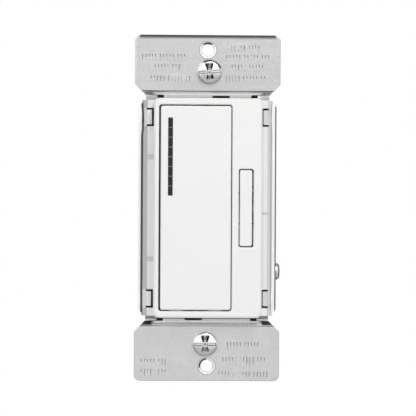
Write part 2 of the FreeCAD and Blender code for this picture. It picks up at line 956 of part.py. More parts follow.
def switch_cover(x, z):
    """Bent sheet cover of a push switch, with two side legs down to the board."""
    wide = switch_size + 2 * switch_cover_sheet
    cap = block(centred(x, wide), (cover_front, switch_front), centred(z, switch_size))
    width = plunger_width + 2 * running_fit
    hole = block(centred(x, width), (cover_front - through, switch_front + through), centred(z, width))
    legs = []
    for side in (1, -1):
        middle = x + side * (switch_size + switch_cover_sheet) / 2
        span = centred(middle, switch_cover_sheet)
        legs.append(block(span, (cover_front, board_front), centred(z, switch_size / 2)))
    return cap.cut(hole).fuse(legs).removeSplitter()


def switch_plunger(x, z, pressed):
    """Square stem with a wider flange that rides in the chamber behind the cover."""
    flange_front = switch_front + running_fit / 2 + pressed
    flange_back = flange_front + plunger_flange_thickness
    stem = block(centred(x, plunger_width), (plunger_front, flange_back), centred(z, plunger_width))
    flange = block(centred(x, plunger_flange), (flange_front, flange_back), centred(z, plunger_flange))
    return stem.fuse(flange).removeSplitter()


def boss_holes(levels):
    """Square openings that clear the screw bosses of the housing."""
    width = boss_width + 2 * boss_fit
    return [block(centred(x, width), levels, centred(z, width)) for x, z in boss_places()]


def header_places():
    first = -(header_pins - 1) / 2
    return [(first + index) * header_pitch for index in range(header_pins)]


def header_holes(levels):
    size = header_pin + 2 * header_fit
    return [block(centred(x, size), levels, centred(header_height, size)) for x in header_places()]


def control_board():
    """Front board, which carries the switches and lights."""
    levels = (board_front, board_back)
    cutting = (levels[0] - through, levels[1] + through)
    body = block(centred(0, board_width), levels, centred(0, board_height))
    return body.cut(header_holes(cutting) + boss_holes(cutting))


def power_board():
    """Rear board, which carries the supply parts and takes the terminal tabs."""
    levels = (power_front, power_back)
    cutting = (levels[0] - through, levels[1] + through)
    body = block(centred(0, power_board_width), levels, centred(0, board_height))
    cutters = header_holes(cutting) + boss_holes(cutting)
    for _, side, height in terminal_places:
        outer = pocket_floor - terminal_tab_reach
        span = (outer - terminal_fit, outer + terminal_sheet + terminal_fit)
        slot = block(span, cutting, centred(height, terminal_tab_height + 2 * terminal_fit))
        cutters.append(slot if side > 0 else mirrored(slot, "x"))
    return body.cut(cutters)


def board_header():
    """Pins that join the two boards, in a base against each board."""
    pins = []
    for x in header_places():
        pins.append(block(
            centred(x, header_pin),
            (board_front - pin_through, power_back + pin_through),
            centred(header_height, header_pin),
        ))
    width = header_pins * header_pitch
    bases = [
        block(centred(0, width), levels, centred(header_height, header_pitch))
        for levels in ((board_back, board_back + header_base), (power_front - header_base, power_front))
    ]
    return bases[0].fuse(bases[1:] + pins).removeSplitter()


def microcontroller():
    """Flat chip behind the front board with a row of leads on each side."""
    x, z = chip_place
    levels = (board_back, board_back + chip_thickness)
    body = block(centred(x, chip_size), levels, centred(z, chip_size))
    first = -(lead_count - 1) / 2
    lead_levels = (board_back, board_back + lead_thickness)
    leads = []
    for index in range(lead_count):
        shift = (first + index) * lead_pitch
        reach = chip_size + 2 * lead_reach
        leads.append(block(centred(x + shift, lead_width), lead_levels, centred(z, reach)))
        leads.append(block(centred(x, reach), lead_levels, centred(z + shift, lead_width)))
    return body.fuse(leads).removeSplitter()


def chip_resistors():
    """Row of small resistors behind the front board."""
    x, z = chip_resistor_place
    length, width, thickness = chip_resistor_size
    levels = (board_back, board_back + thickness)
    return [
        block(centred(x + index * chip_resistor_pitch, width), levels, centred(z, length))
        for index in range(chip_resistor_count)
    ]


def standing_block(place, size, corner=0):
    """Block that stands on the front of the power board."""
    width, depth, height = size
    corners = rectangle(centred(place[0], width), centred(place[1], height), corner)
    return plan_prism(corners, (power_front - depth, power_front))


def electrolytic_capacitor():
    """Can that stands upright on its own width."""
    x, z = can_place
    return rod(can_width, (x, power_front, z), (x, power_front - can_height, z))


def varistor():
    """Disc that stands on edge on two wires."""
    x, z = varistor_place
    level = power_front - varistor_stand_off - varistor_width / 2
    disc = rod(varistor_width, (x, level, z - varistor_thickness / 2), (x, level, z + varistor_thickness / 2))
    wires = []
    for side in (1, -1):
        place = x + side * varistor_wire_pitch / 2
        wires.append(block(centred(place, wire_width), (level, power_front), centred(z, wire_width)))
    return disc.fuse(wires).removeSplitter()


def choke():
    """Drum choke that stands upright in its sleeve."""
    x, z = choke_place
    return rod(choke_width, (x, power_front - choke_height, z), (x, power_front, z))


def power_resistor():
    """Round resistor that lies along the board on two bent wires."""
    x, z = resistor_place
    level = power_front - resistor_stand_off - resistor_width / 2
    half = resistor_length / 2
    body = rod(resistor_width, (x, level, z - half), (x, level, z + half))
    pieces = []
    for side in (1, -1):
        end = z + side * (half + 2 * wire_width)
        across = centred(x, wire_width)
        pieces.append(block(across, centred(level, wire_width), (min(z, end), max(z, end))))
        pieces.append(block(across, (level - wire_width / 2, power_front), centred(end, wire_width)))
    return body.fuse(pieces).removeSplitter()


def wedge(half_widths, half_heights, levels):
    """Drafted block, from its (front, back) half widths and half heights between two levels of Y."""
    return Part.makeWedge(
        -half_widths[0], levels[0], -half_heights[0], -half_heights[1], -half_widths[1],
        half_widths[0], levels[1], half_heights[0], half_heights[1], half_widths[1],
    )


def housing_shell():
    """Box with drafted sides and blunt corners, hollowed from the front."""
    levels = (housing_front, housing_back)
    narrow = housing_width / 2 - housing_draft
    low = housing_height / 2 - housing_draft
    body = wedge((housing_width / 2, narrow), (housing_height / 2, low), levels)
    corners = [edge for edge in body.Edges if edge.BoundBox.YLength > housing_wall]
    body = body.makeChamfer(housing_corner, corners)
    area = (centred(0, housing_width), centred(0, housing_height))
    body = body.makeChamfer(housing_back_edge, edges_at(body, housing_back, *area))
    lost = housing_draft * (housing_depth - housing_wall) / housing_depth
    hollow = wedge(
        (housing_width / 2 - housing_wall, housing_width / 2 - housing_wall - lost),
        (housing_height / 2 - housing_wall, housing_height / 2 - housing_wall - lost),
        (housing_front, pocket_back),
    )
    return body.cut(hollow)


def housing_ribs():
    """Rests for the boards, screw bosses and the ledge behind the strap."""
    inner = housing_width / 2 - housing_wall
    wall = housing_width / 2 - housing_wall / 2 - housing_draft
    end_wall = housing_height / 2 - housing_wall / 2 - housing_draft
    floor = housing_back - housing_wall / 2
    ribs = []
    for height in board_rest_heights:
        span = (board_width / 2 - board_rest_overlap, wall)
        rest = block(span, (board_back, floor), centred(height, board_rest_width))
        ribs += [rest, mirrored(rest, "x")]
    for side in (1, -1):
        rib = block(
            centred(side * end_rib_spacing / 2, end_rib_width),
            (power_back, floor),
            (board_height / 2 - end_rib_overlap, end_wall),
        )
        ribs += [rib, mirrored(rib, "z")]
    for x, z in boss_places():
        ribs.append(block(centred(x, boss_width), (pan_back, floor), centred(z, boss_width)))
    ledge = block(
        (inner - rim_ledge_width, inner + housing_wall / 2),
        (pan_back, pan_back + rim_ledge_thickness),
        centred(0, housing_height - 2 * housing_wall),
    )
    return ribs + [ledge, mirrored(ledge, "x")]


def terminal_pocket(side, height):
    """Solid lump of one wire terminal and the space inside it."""
    outer = housing_width / 2 + through
    lump = block(
        (pocket_floor - pocket_wall, housing_width / 2 - housing_wall / 2 - housing_draft),
        (pocket_front - pocket_wall, housing_back - housing_wall / 2),
        centred(height, pocket_height + 2 * pocket_wall),
    )
    space = block((pocket_floor, outer), (pocket_front, pocket_back), centred(height, pocket_height))
    inner = pocket_floor - pocket_wall - through
    width = terminal_screw + 2 * screw_clearance
    screw_hole = block((inner, outer), centred(pocket_middle, width), centred(height, width))
    tab_slot = block(
        (inner, outer - through),
        tab_levels(terminal_fit),
        centred(height, terminal_tab_height + 2 * terminal_fit),
    )
    cutters = [space, screw_hole, tab_slot]
    for z in centred(height, wire_hole_spacing):
        x = (clamp_inner(0) + pocket_floor + terminal_sheet) / 2
        levels = (pocket_middle, housing_back + through)
        cutters.append(block(centred(x, wire_hole), levels, centred(z, wire_hole)))
    if side < 0:
        lump = mirrored(lump, "x")
        cutters = [mirrored(cutter, "x") for cutter in cutters]
    return lump, cutters


def tab_levels(fit):
    """Where the tab of a terminal runs inwards, with a fit on both sides."""
    start = pocket_front + terminal_sheet / 2
    return (start - fit, start + terminal_sheet + fit)


def clamp_inner(opened):
    """Distance of a clamp's inner face from the middle of the housing."""
    return pocket_floor + terminal_sheet + clamp_gap + opened


def rear_housing():
    """Drafted shell with a rebate for the strap, terminal pockets, bosses and rests."""
    body = housing_shell()
    lumps = []
    cutters = []
    for _, side, height in terminal_places:
        lump, spaces = terminal_pocket(side, height)
        lumps.append(lump)
        cutters += spaces
    cutters.append(block(
        centred(0, pan_width + 2 * strap_fit),
        (housing_front - through, pan_back),
        centred(0, housing_height + through),
    ))
    cutters += sheet_rebates() + back_recesses()
    for x, z in boss_places():
        width = housing_screw + 2 * housing_screw_fit
        cutters.append(rod(width, (x, pan_back - through, z), (x, housing_back, z)))
        width = housing_screw_head + 2 * head_recess_fit
        cutters.append(rod(width, (x, screw_seat(), z), (x, housing_back + through, z)))
    return body.fuse(housing_ribs() + lumps).cut(cutters).removeSplitter()


def sheet_rebates():
    """Where the insulation sheet passes out over both end walls."""
    levels = (housing_front, pan_back + insulation_thickness)
    inner = housing_height / 2 - housing_wall - strap_fit
    rebate = block(centred(0, insulation_width + 2 * strap_fit), levels, (inner, inner + 2 * housing_wall))
    return [rebate, mirrored(rebate, "z")]


def back_recesses():
    """Shallow field for a label and a strip length gauge, both bare."""
    levels = (housing_back - back_relief, housing_back + through)
    fields = []
    for size, height in ((label_recess, 0), (strip_gauge, strip_gauge_height)):
        fields.append(block(centred(0, size[0]), levels, centred(height, size[1])))
    return fields


def screw_seat():
    """Level that the heads of the housing screws stand on."""
    return housing_back - housing_head_rise - head_recess_cover


def housing_screws():
    """Long screws from the back of the housing into the strap."""
    return [
        slotted_screw(
            (x, screw_seat(), z), (0, -1, 0), (1, 0, 0),
            housing_screw_head, housing_head_rise, ((housing_screw, screw_seat() - pan_front),),
        )
        for x, z in boss_places()
    ]


def terminal(side, height):
    """Plate on the floor of a pocket, with a tab bent in and forward to the power board."""
    plate = block(
        (pocket_floor, pocket_floor + terminal_sheet),
        (tab_levels(0)[0], pocket_back - terminal_fit),
        centred(height, terminal_plate_height),
    )
    start, end = tab_levels(0)
    inner = pocket_floor - terminal_tab_reach
    section = [
        (pocket_floor + terminal_sheet, start, 0),
        (pocket_floor + terminal_sheet, end, 0),
        (inner, end, 0),
        (inner, power_front - pin_through, 0),
        (inner + terminal_sheet, power_front - pin_through, 0),
        (inner + terminal_sheet, start, 0),
    ]
    tab = level_prism(section, centred(height, terminal_tab_height))
    hole = rod(
        terminal_screw + 2 * running_fit,
        (pocket_floor - through, pocket_middle, height),
        (pocket_floor + terminal_sheet + through, pocket_middle, height),
    )
    shape = plate.fuse(tab).cut(hole).removeSplitter()
    return shape if side > 0 else mirrored(shape, "x")


def opened(name, distance):
    """How far a clamp or screw is backed out, which only the open terminal's are."""
    return distance if name == open_terminal else 0.0


def terminal_clamps():
    """Forked pressure plates under the heads of the terminal screws."""
    clamps = []
    for name, side, height in terminal_places:
        inner = clamp_inner(opened(name, open_clamp_distance))
        span = (inner, inner + clamp_sheet)
        clamp = block(span, centred(pocket_middle, clamp_size), centred(height, clamp_size))
        fork = block(
            (span[0] - through, span[1] + through),
            (pocket_front, pocket_middle + terminal_screw / 2 + terminal_fit),
            centred(height, terminal_screw + 2 * terminal_fit),
        )
        clamp = clamp.cut(fork)
        clamps.append(clamp if side > 0 else mirrored(clamp, "x"))
    return clamps


def terminal_screws():
    """Side screws, one of them backed out for its wire."""
    screws = []
    for name, side, height in terminal_places:
        seat = clamp_inner(opened(name, open_distance)) + clamp_sheet
        screws.append(slotted_screw(
            (side * seat, pocket_middle, height), (-side, 0, 0), (0, 0, 1),
            terminal_head, terminal_head_rise, ((terminal_screw, terminal_screw_reach),),
        ))
    return screws


def bracket_top():
    """Height of the leg of the ground bracket, just below the bend of the strap."""
    lean = math.atan2(joggle, bend_run)
    return -(bend_height / 2 + sheet * math.tan(lean / 2) + bracket_from_bend)


def ground_bracket():
    """Angle of sheet on the back of the bottom ear, whose leg takes the ground screw."""
    top = bracket_top()
    section = [
        (ear_back, top, 0),
        (ear_back + bracket_leg, top, 0),
        (ear_back + bracket_leg, top - bracket_sheet, 0),
        (ear_back + bracket_sheet, top - bracket_sheet, 0),
        (ear_back + bracket_sheet, top - bracket_flange, 0),
        (ear_back, top - bracket_flange, 0),
    ]
    body = side_prism(section, centred(bracket_middle, bracket_width))
    hole = rod(
        ground_screw + 2 * running_fit,
        (bracket_middle, ground_screw_depth, top + through),
        (bracket_middle, ground_screw_depth, top - bracket_sheet - through),
    )
    return body.cut(hole)


def ground_screw_solid():
    return slotted_screw(
        (bracket_middle, ground_screw_depth, bracket_top() - bracket_sheet), (0, 0, 1), (1, 0, 0),
        ground_head, ground_head_rise, ((ground_screw, ground_screw_length),),
    )


def save(name, shape):
    """Write one node, from a solid or from a list of separate solids."""
    if isinstance(shape, list):
        shape = Part.makeCompound(shape)
    if not shape.isValid():
        raise ValueError(f"{name} is not a valid shape")
    shape.exportStep(os.path.join("parts", f"{name}.step"))
    print(name, len(shape.Solids), round(shape.Volume, 2))


def main():
    os.makedirs("parts", exist_ok=True)
    save("mounting_strap", mounting_strap())
    save("mounting_screws", box_screws())
    save("screw_retainers", screw_retainers())
    save("faceplate_frame", faceplate_frame())
    save("tap_paddle", tap_paddle())
    save("led_window", led_window())
    save("light_guide", light_guide())
    save("status_leds", status_leds())
    save("dim_rocker", dim_rocker())
    save("button_carrier", button_carrier())
    save("insulation_sheet", insulation_sheet())
    for name, x, z, pressed in switches:
        save(f"{name}_body", switch_body(x, z))
        save(f"{name}_cover", switch_cover(x, z))
        save(f"{name}_plunger", switch_plunger(x, z, pressed))
    save("control_board", control_board())
    save("power_board", power_board())
    save("board_header", board_header())
    save("microcontroller", microcontroller())
    save("chip_resistors", chip_resistors())
    film_capacitor = standing_block(film_capacitor_place, film_capacitor_size, film_capacitor_round)
    save("film_capacitor", film_capacitor)
    save("electrolytic_capacitor", electrolytic_capacitor())
    save("varistor", varistor())
    save("choke", choke())
    save("bridge_rectifier", standing_block(rectifier_place, rectifier_size))
    save("optocoupler", standing_block(optocoupler_place, optocoupler_size))
    save("power_resistor", power_resistor())
    save("rear_housing", rear_housing())
    save("housing_screws", housing_screws())
    for name, side, height in terminal_places:
        save(name, terminal(side, height))
    save("terminal_clamps", terminal_clamps())
    save("terminal_screws", terminal_screws())
    save("ground_bracket", ground_bracket())
    save("ground_screw", ground_screw_solid())


main()
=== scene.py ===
import json
import math

import bmesh
import bpy
from mathutils import Matrix, Vector


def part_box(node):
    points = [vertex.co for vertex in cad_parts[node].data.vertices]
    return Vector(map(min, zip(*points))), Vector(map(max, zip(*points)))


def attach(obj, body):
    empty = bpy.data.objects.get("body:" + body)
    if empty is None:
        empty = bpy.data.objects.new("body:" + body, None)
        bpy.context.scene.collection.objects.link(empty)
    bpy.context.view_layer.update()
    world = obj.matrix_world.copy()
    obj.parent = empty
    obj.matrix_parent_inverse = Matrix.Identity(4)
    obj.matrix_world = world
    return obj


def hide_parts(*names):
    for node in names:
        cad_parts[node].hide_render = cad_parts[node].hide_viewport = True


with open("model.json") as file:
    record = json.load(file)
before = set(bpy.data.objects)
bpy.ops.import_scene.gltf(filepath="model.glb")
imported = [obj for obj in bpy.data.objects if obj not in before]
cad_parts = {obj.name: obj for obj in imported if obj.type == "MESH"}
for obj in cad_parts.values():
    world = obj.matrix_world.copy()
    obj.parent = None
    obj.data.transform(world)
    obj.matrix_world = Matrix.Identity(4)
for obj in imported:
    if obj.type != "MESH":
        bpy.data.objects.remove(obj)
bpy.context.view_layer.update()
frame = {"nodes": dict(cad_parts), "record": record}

MM = 0.001
WELD = 0.002 * MM
SLIVER = 0.0005 * MM
FLAT_ANGLE = math.radians(0.4)
SHARP_ANGLE = math.radians(32)
ROUND_ANGLE = math.radians(26)

# How near two lengths in millimetres count as equal, and a normal as lying along an axis
NEAR = 0.01
FACING = 0.9

# The photograph's frame
PHOTO_WIDTH = 416
PX_PER_MM = 3.275
CAMERA_DISTANCE = 0.7
CAMERA_AZIMUTH = math.radians(-1.5)
CAMERA_ROLL = math.radians(0.3)
CAMERA_AIM = Vector((0.15, -4.0, 0.0)) * MM
SENSOR_MM = 36.0

# The strap in millimetres: the depths of its faces at the ears and behind, the ends of the ears,
# and what lies above and below the faceplate, as distances from the middle
EAR_FRONT = -1.3
STRAP_LEVELS = (EAR_FRONT, 0.0, 0.4, 1.7)
EAR_TOP = 52.7
EAR_SIDE = 21.3
PLATE_HOLE_HEIGHT = 48.42
BEND_HEIGHT = 35.8
BEND_SLOPE = (34.75, 35.55)
BEND_SLOPE_SIDE = 16.4
NECK_SHADOW = (33.2, 34.05)
NECK_SLOT_END = 34.1
NECK_SLOT_GROWTH = 0.35
FACEPLATE_HALF = 32.8

# The box screws: their places on the strap, and how far their heads stand out
BOX_SCREW_HEIGHT = 41.67
BOX_SCREW_SHIFT = 0.47
BOX_HEAD_RISE = 1.8

# The gauge marks: their spacing and size, half the width of the strip at the middle that has
# none, and for each row its first mark, count, height and length
MARK_PITCH = 0.98
MARK_GROUP = 5
MARK_GROUP_GAP = 0.5
MARK_WIDTH = 0.42
MARK_DEPTH = 0.13
MARK_CLEAR = 3.2
MARK_ROWS = (
    (-20.0, 13, 46.2, 2.0), (-16.2, 8, 43.0, 2.0), (-17.4, 12, 39.6, 1.8),
    (7.2, 9, 48.9, 2.0), (5.8, 13, 46.0, 2.0), (7.4, 10, 43.0, 2.0), (5.6, 12, 39.6, 1.8),
    (-20.0, 8, -47.2, 1.9), (-20.0, 8, -50.4, 1.9),
    (6.4, 10, -42.2, 2.3), (5.0, 13, -46.8, 2.3), (3.8, 15, -51.0, 1.8),
)

# The faceplate's skirts: where they begin behind its front, the painted shade lines along their
# edges and the painted shade strip in the right one, the channel in each with its steps, the
# slope outside it, and the tabs with their slits
SKIRT_DEPTH = -3.2
LEFT_LINE = (19.76, 20.4)
RIGHT_LINE = (19.38, 19.68)
RIGHT_STRIP = (16.6, 17.15)
CHANNEL_INNER = 16.4
CHANNEL_OUTER = 18.4
CHANNEL_STEP = 15.6
CHANNEL_STEP_HALF = 0.75
SLOPE_OUTER = 19.74
TAB_HEIGHT = 27.75
TAB_HALF = 2.8
SLIT_INNER = 16.3
SLIT_OUTER = 17.12
SLIT_RISE = 2.52
SLIT_HALF = 0.3

# The gap left of the paddle: its two sides, its front end and half its height
GAP_LEFT = -14.95
GAP_RIGHT = -14.38
GAP_FRONT = -7.6
GAP_HALF = 31.6

# The front of the housing's flange, and where its right edge turns back
FLANGE_FRONT = 0.56
FLANGE_EDGE = 20.8

# Clean white painted over plastic that lies in shade, as painted light, and grey levels of
# painted shade on it along edges, in slits and in the gap
PAINTED_LIGHT_WHITE = (0.99, 0.99, 0.985)
SHADE_GREY = 0.25
EDGE_SHADE = 0.04
SLIT_SHADE = 0.015
GAP_SHADE = 0.02

# Floor and light
FLOOR_HEIGHT = -0.12
FLOOR_RADIUS = 0.55
WORLD_LEVEL = 0.25


def solid_boxes(node):
    """(lowest, highest) corner in millimetres of each separate solid of a node."""
    mesh = bmesh.new()
    mesh.from_mesh(frame["nodes"][node].data)
    bmesh.ops.remove_doubles(mesh, verts=mesh.verts, dist=WELD)
    seen = set()
    boxes = []
    for first in mesh.verts:
        if first in seen:
            continue
        seen.add(first)
        found = [first]
        for vertex in found:
            neighbours = [edge.other_vert(vertex) for edge in vertex.link_edges]
            new = [other for other in neighbours if other not in seen]
            seen.update(new)
            found.extend(new)
        low = Vector(min(v.co[axis] for v in found) / MM for axis in range(3))
        high = Vector(max(v.co[axis] for v in found) / MM for axis in range(3))
        boxes.append((low, high))
    mesh.free()
    return boxes


class Value:
    """A socket of a material that takes part in Python expressions."""

    def __init__(self, finish, socket):
        self.finish = finish
        self.socket = socket

    def _math(self, operation, first, second=None):
        inputs = {0: first} if second is None else {0: first, 1: second}
        return self.finish.node("ShaderNodeMath", {"operation": operation}, inputs)

    def __add__(self, other):
        return self._math("ADD", self, other)

    def __sub__(self, other):
        return self._math("SUBTRACT", self, other)

    def __rsub__(self, other):
        return self._math("SUBTRACT", other, self)

    def __mul__(self, other):
        return self._math("MULTIPLY", self, other)

    def __abs__(self):
        return self._math("ABSOLUTE", self)

    def __lt__(self, other):
        return self._math("LESS_THAN", self, other)

    def __gt__(self, other):
        return self._math("GREATER_THAN", self, other)

    def fraction(self):
        return self._math("FRACT", self)

    def root(self):
        return self._math("SQRT", self)

    def sign(self):
        return self._math("SIGN", self)

    __radd__ = __add__
    __rmul__ = __mul__


class Finish:
    """A material, its principled shader, and the place on the piece in millimetres."""

    def __init__(self, name, colour, roughness, metallic=0.0, fixed=None):
        self.material = bpy.data.materials.new(name)
        self.material.use_nodes = True
        self.tree = self.material.node_tree
        self.shader = self.tree.nodes["Principled BSDF"]
        self.shader.inputs["Base Color"].default_value = (*colour, 1.0)
        self.shader.inputs["Roughness"].default_value = roughness
        self.shader.inputs["Metallic"].default_value = metallic
        for socket, value in (fixed or {}).items():
            self.shader.inputs[socket].default_value = value
        metres = self.node("ShaderNodeTexCoord", {}, {}, "Object")
        to_mm = {0: metres, "Scale": 1 / MM}
        self.place = self.node("ShaderNodeVectorMath", {"operation": "SCALE"}, to_mm)
        self.normal = None

    def node(self, kind, settings, inputs, output=0):
        """Any node, with its settings made first and then the values or links of its sockets."""
        made = self.tree.nodes.new(kind)
        for name, value in settings.items():
            if name == "stops":
                self._set_stops(made.color_ramp, value)
            else:
                setattr(made, name, value)
        for name, value in inputs.items():
            if isinstance(value, Value):
                self.tree.links.new(value.socket, made.inputs[name])
            else:
                made.inputs[name].default_value = value
        return Value(self, made.outputs[output])

    def _set_stops(self, ramp, stops):
        """Give a colour ramp its (position, level) stops."""
        while len(ramp.elements) < len(stops):
            ramp.elements.new(0.5)
        for element, (position, level) in zip(ramp.elements, stops):
            element.position = position
            element.color = (level, level, level, 1.0)

    def feed(self, socket, value):
        """Let a value that varies over the surface drive a socket of the shader."""
        self.tree.links.new(value.socket, self.shader.inputs[socket])

    def stretched(self, x, y, z):
        """The place with each direction scaled, for streaks and grain."""
        inputs = {0: self.place, 1: (x, y, z)}
        return self.node("ShaderNodeVectorMath", {"operation": "MULTIPLY"}, inputs)

    def noise(self, size, detail=2.0, roughness=0.5, place=None):
        """Soft noise with spots of about a size in millimetres."""
        inputs = {"Vector": place or self.place, "Scale": 1 / size}
        inputs.update({"Detail": detail, "Roughness": roughness})
        return self.node("ShaderNodeTexNoise", {}, inputs)

    def flakes(self, size):
        """One random level for each cell of about a size in millimetres."""
        inputs = {"Vector": self.place, "Scale": 1 / size}
        colour = self.node("ShaderNodeTexVoronoi", {}, inputs, "Color")
        return self.node("ShaderNodeSeparateColor", {}, {0: colour})

    def ramp(self, value, *stops):
        """A value read off a scale of (position, level) stops."""
        return self.node("ShaderNodeValToRGB", {"stops": stops}, {0: value})

    def mix(self, factor, first, second):
        """A colour between two others."""
        first = first if isinstance(first, Value) else (*first, 1.0)
        second = second if isinstance(second, Value) else (*second, 1.0)
        inputs = {0: factor, 6: first, 7: second}
        return self.node("ShaderNodeMix", {"data_type": "RGBA"}, inputs, 2)

    def shade(self, factor, tone, level):
        """A tone that goes over to a plain grey of a level."""
        return self.mix(factor, tone, (level, level, level))

    def axis(self, name):
        """One coordinate of the place, in millimetres."""
        return self.node("ShaderNodeSeparateXYZ", {}, {0: self.place}, name)

    def axes(self):
        """All three coordinates of the place, in millimetres."""
        return self.axis("X"), self.axis("Y"), self.axis("Z")

    def rise(self, value, low, high):
        """0 before the first number, 1 past the second and smooth between them."""
        inputs = {"Value": value, "From Min": low, "From Max": high}
        return self.node("ShaderNodeMapRange", {"interpolation_type": "SMOOTHSTEP"}, inputs)

    def band(self, value, low, high, edge):
        """1 between two numbers, with soft edges outside them."""
        return self.rise(value, low - edge, low) * self.rise(value, high + edge, high)

    def bump(self, height, distance):
        """Add a relief of a height in millimetres to the surface."""
        inputs = {"Height": height, "Distance": distance * MM}
        if self.normal:
            inputs["Normal"] = self.normal
        self.normal = self.node("ShaderNodeBump", {}, inputs)
        self.feed("Normal", self.normal)


def moulded_plastic(name, colour, roughness, texture=0.006, detail=None):
    """Moulded plastic: faint flow shading, slight gloss changes and the fine grain of the tool."""
    flow_shade = 0.97
    finish = Finish(name, colour, roughness)
    flow = finish.noise(14.0, detail=3.0)
    tone = finish.mix(flow, colour, [level * flow_shade for level in colour])
    finish.feed("Base Color", detail(finish, tone) if detail else tone)
    finish.feed("Roughness", roughness - 0.05 + 0.1 * finish.noise(3.5))
    finish.bump(finish.noise(0.16, roughness=0.6), texture)
    return finish.material


def left_edge_line(finish):
    """Where the painted shade line along the left skirt runs, bowed in a little beside the upper
    tab.
    """
    bow = 0.26 * finish.band(finish.axis("Z"), 25.0, 29.0, 3.5)
    return finish.band(bow - finish.axis("X"), *LEFT_LINE, 0.06)


def right_edge_line(finish):
    """Where the fainter painted shade line along the right skirt runs, flared out at both ends."""
    flare = 0.4 * finish.rise(abs(finish.axis("Z")), 29.5, 33.0)
    return finish.band(finish.axis("X") - flare, *RIGHT_LINE, 0.07)


def skirt_detail(finish, tone):
    """Painted light and painted shade on the faceplate: its skirts, the slits round its tabs, the
    paddle's gap.
    """
    x, y, z = finish.axes()
    high = abs(z)
    wide = abs(x)
    skirt = y > SKIRT_DEPTH
    left = skirt * (x < 0)
    right = skirt * (x > 0)
    at_tab = abs(high - TAB_HEIGHT) < TAB_HALF

    # Channels that run down both skirts, and the slopes outside them. The left channel, which lies
    # in the bezel's shade, gets painted light; painted shade goes on the slopes, the top of the
    # left channel, the right channel beside the tabs, and the steps in the left channel
    channel = (wide > CHANNEL_INNER) * (wide < CHANNEL_OUTER)
    top_end = finish.rise(z, 30.2, 31.0)
    step = abs(high - CHANNEL_STEP) < CHANNEL_STEP_HALF
    slope = finish.band(wide, CHANNEL_OUTER, SLOPE_OUTER, 0.12)
    tone = finish.mix(0.85 * left * channel, tone, PAINTED_LIGHT_WHITE)
    tone = finish.shade(slope * (0.42 * left * (1 - at_tab) + 0.22 * right), tone, SHADE_GREY)
    tone = finish.shade(0.3 * left * channel * top_end, tone, SHADE_GREY)
    tone = finish.shade(0.2 * right * channel * at_tab, tone, SHADE_GREY)
    tone = finish.shade(0.36 * left * channel * step, tone, SHADE_GREY)

    # Painted shade lines along the skirts' edges, and a painted shade strip along the right
    # channel
    lines = 0.97 * left * (y < 0.5) * left_edge_line(finish)
    lines = lines + 0.45 * right * (y < -0.5) * right_edge_line(finish)
    tone = finish.shade(lines, tone, EDGE_SHADE)
    strip = finish.band(x, *RIGHT_STRIP, 0.15) * (high < 24.5)
    tone = finish.shade(0.2 * skirt * strip, tone, 0.3)

    # Painted shade in the slits on three sides of each tab, and in the gap left of the paddle
    upright = at_tab * finish.band(wide, SLIT_INNER, SLIT_OUTER, 0.04) * (left + 0.6 * right)
    level = abs(abs(high - TAB_HEIGHT) - SLIT_RISE) < SLIT_HALF
    level = skirt * level * (wide > SLIT_INNER + 0.2) * (wide < CHANNEL_OUTER + 0.3)
    tone = finish.shade(0.95 * (upright + level - upright * level), tone, SLIT_SHADE)
    gap = finish.band(x, GAP_LEFT, GAP_RIGHT, 0.03) * (y > GAP_FRONT) * (high < GAP_HALF)
    return finish.shade(0.93 * gap, tone, GAP_SHADE)


def flange_detail(finish, tone):
    """Painted light on the front of the housing's flange outside the skirts, and painted shade
    lines down its right edge and beside each skirt.
    """
    x = finish.axis("X")
    front = finish.axis("Y") < FLANGE_FRONT
    # Painted light: clean white over the front outside the skirts, where it lies in their shade
    outside_skirts = abs(x) > 19.4
    tone = finish.mix(0.9 * front * outside_skirts, tone, PAINTED_LIGHT_WHITE)
    # Painted shade down the right edge, and the skirts' painted shade lines carried on over the
    # flange
    edge = finish.rise(x, FLANGE_EDGE - 0.08, FLANGE_EDGE)
    tone = finish.shade(0.95 * front * edge, tone, 0.1)
    lines = 0.95 * left_edge_line(finish) + 0.5 * right_edge_line(finish)
    return finish.shade(lines * front, tone, EDGE_SHADE)


def tinned_sheet(name, colour, dark, roughness):
    """Tinned sheet: cloudy plating, a fine crystalline grain and faint rolling lines."""
    finish = Finish(name, colour, roughness, metallic=1.0)
    cloud = finish.noise(5.0, detail=4.0, roughness=0.62)
    grain = finish.flakes(0.35)
    blotch = finish.ramp(cloud, (0.32, 0.0), (0.68, 1.0))
    finish.feed("Base Color", finish.mix(0.72 * blotch + 0.28 * grain, dark, colour))
    lines = finish.noise(0.5, detail=3.0, place=finish.stretched(0.06, 1.0, 1.6))
    finish.feed("Roughness", roughness - 0.08 + 0.1 * lines + 0.08 * grain)
    finish.bump(lines, 0.004)
    finish.bump(grain, 0.006)
    return finish.material


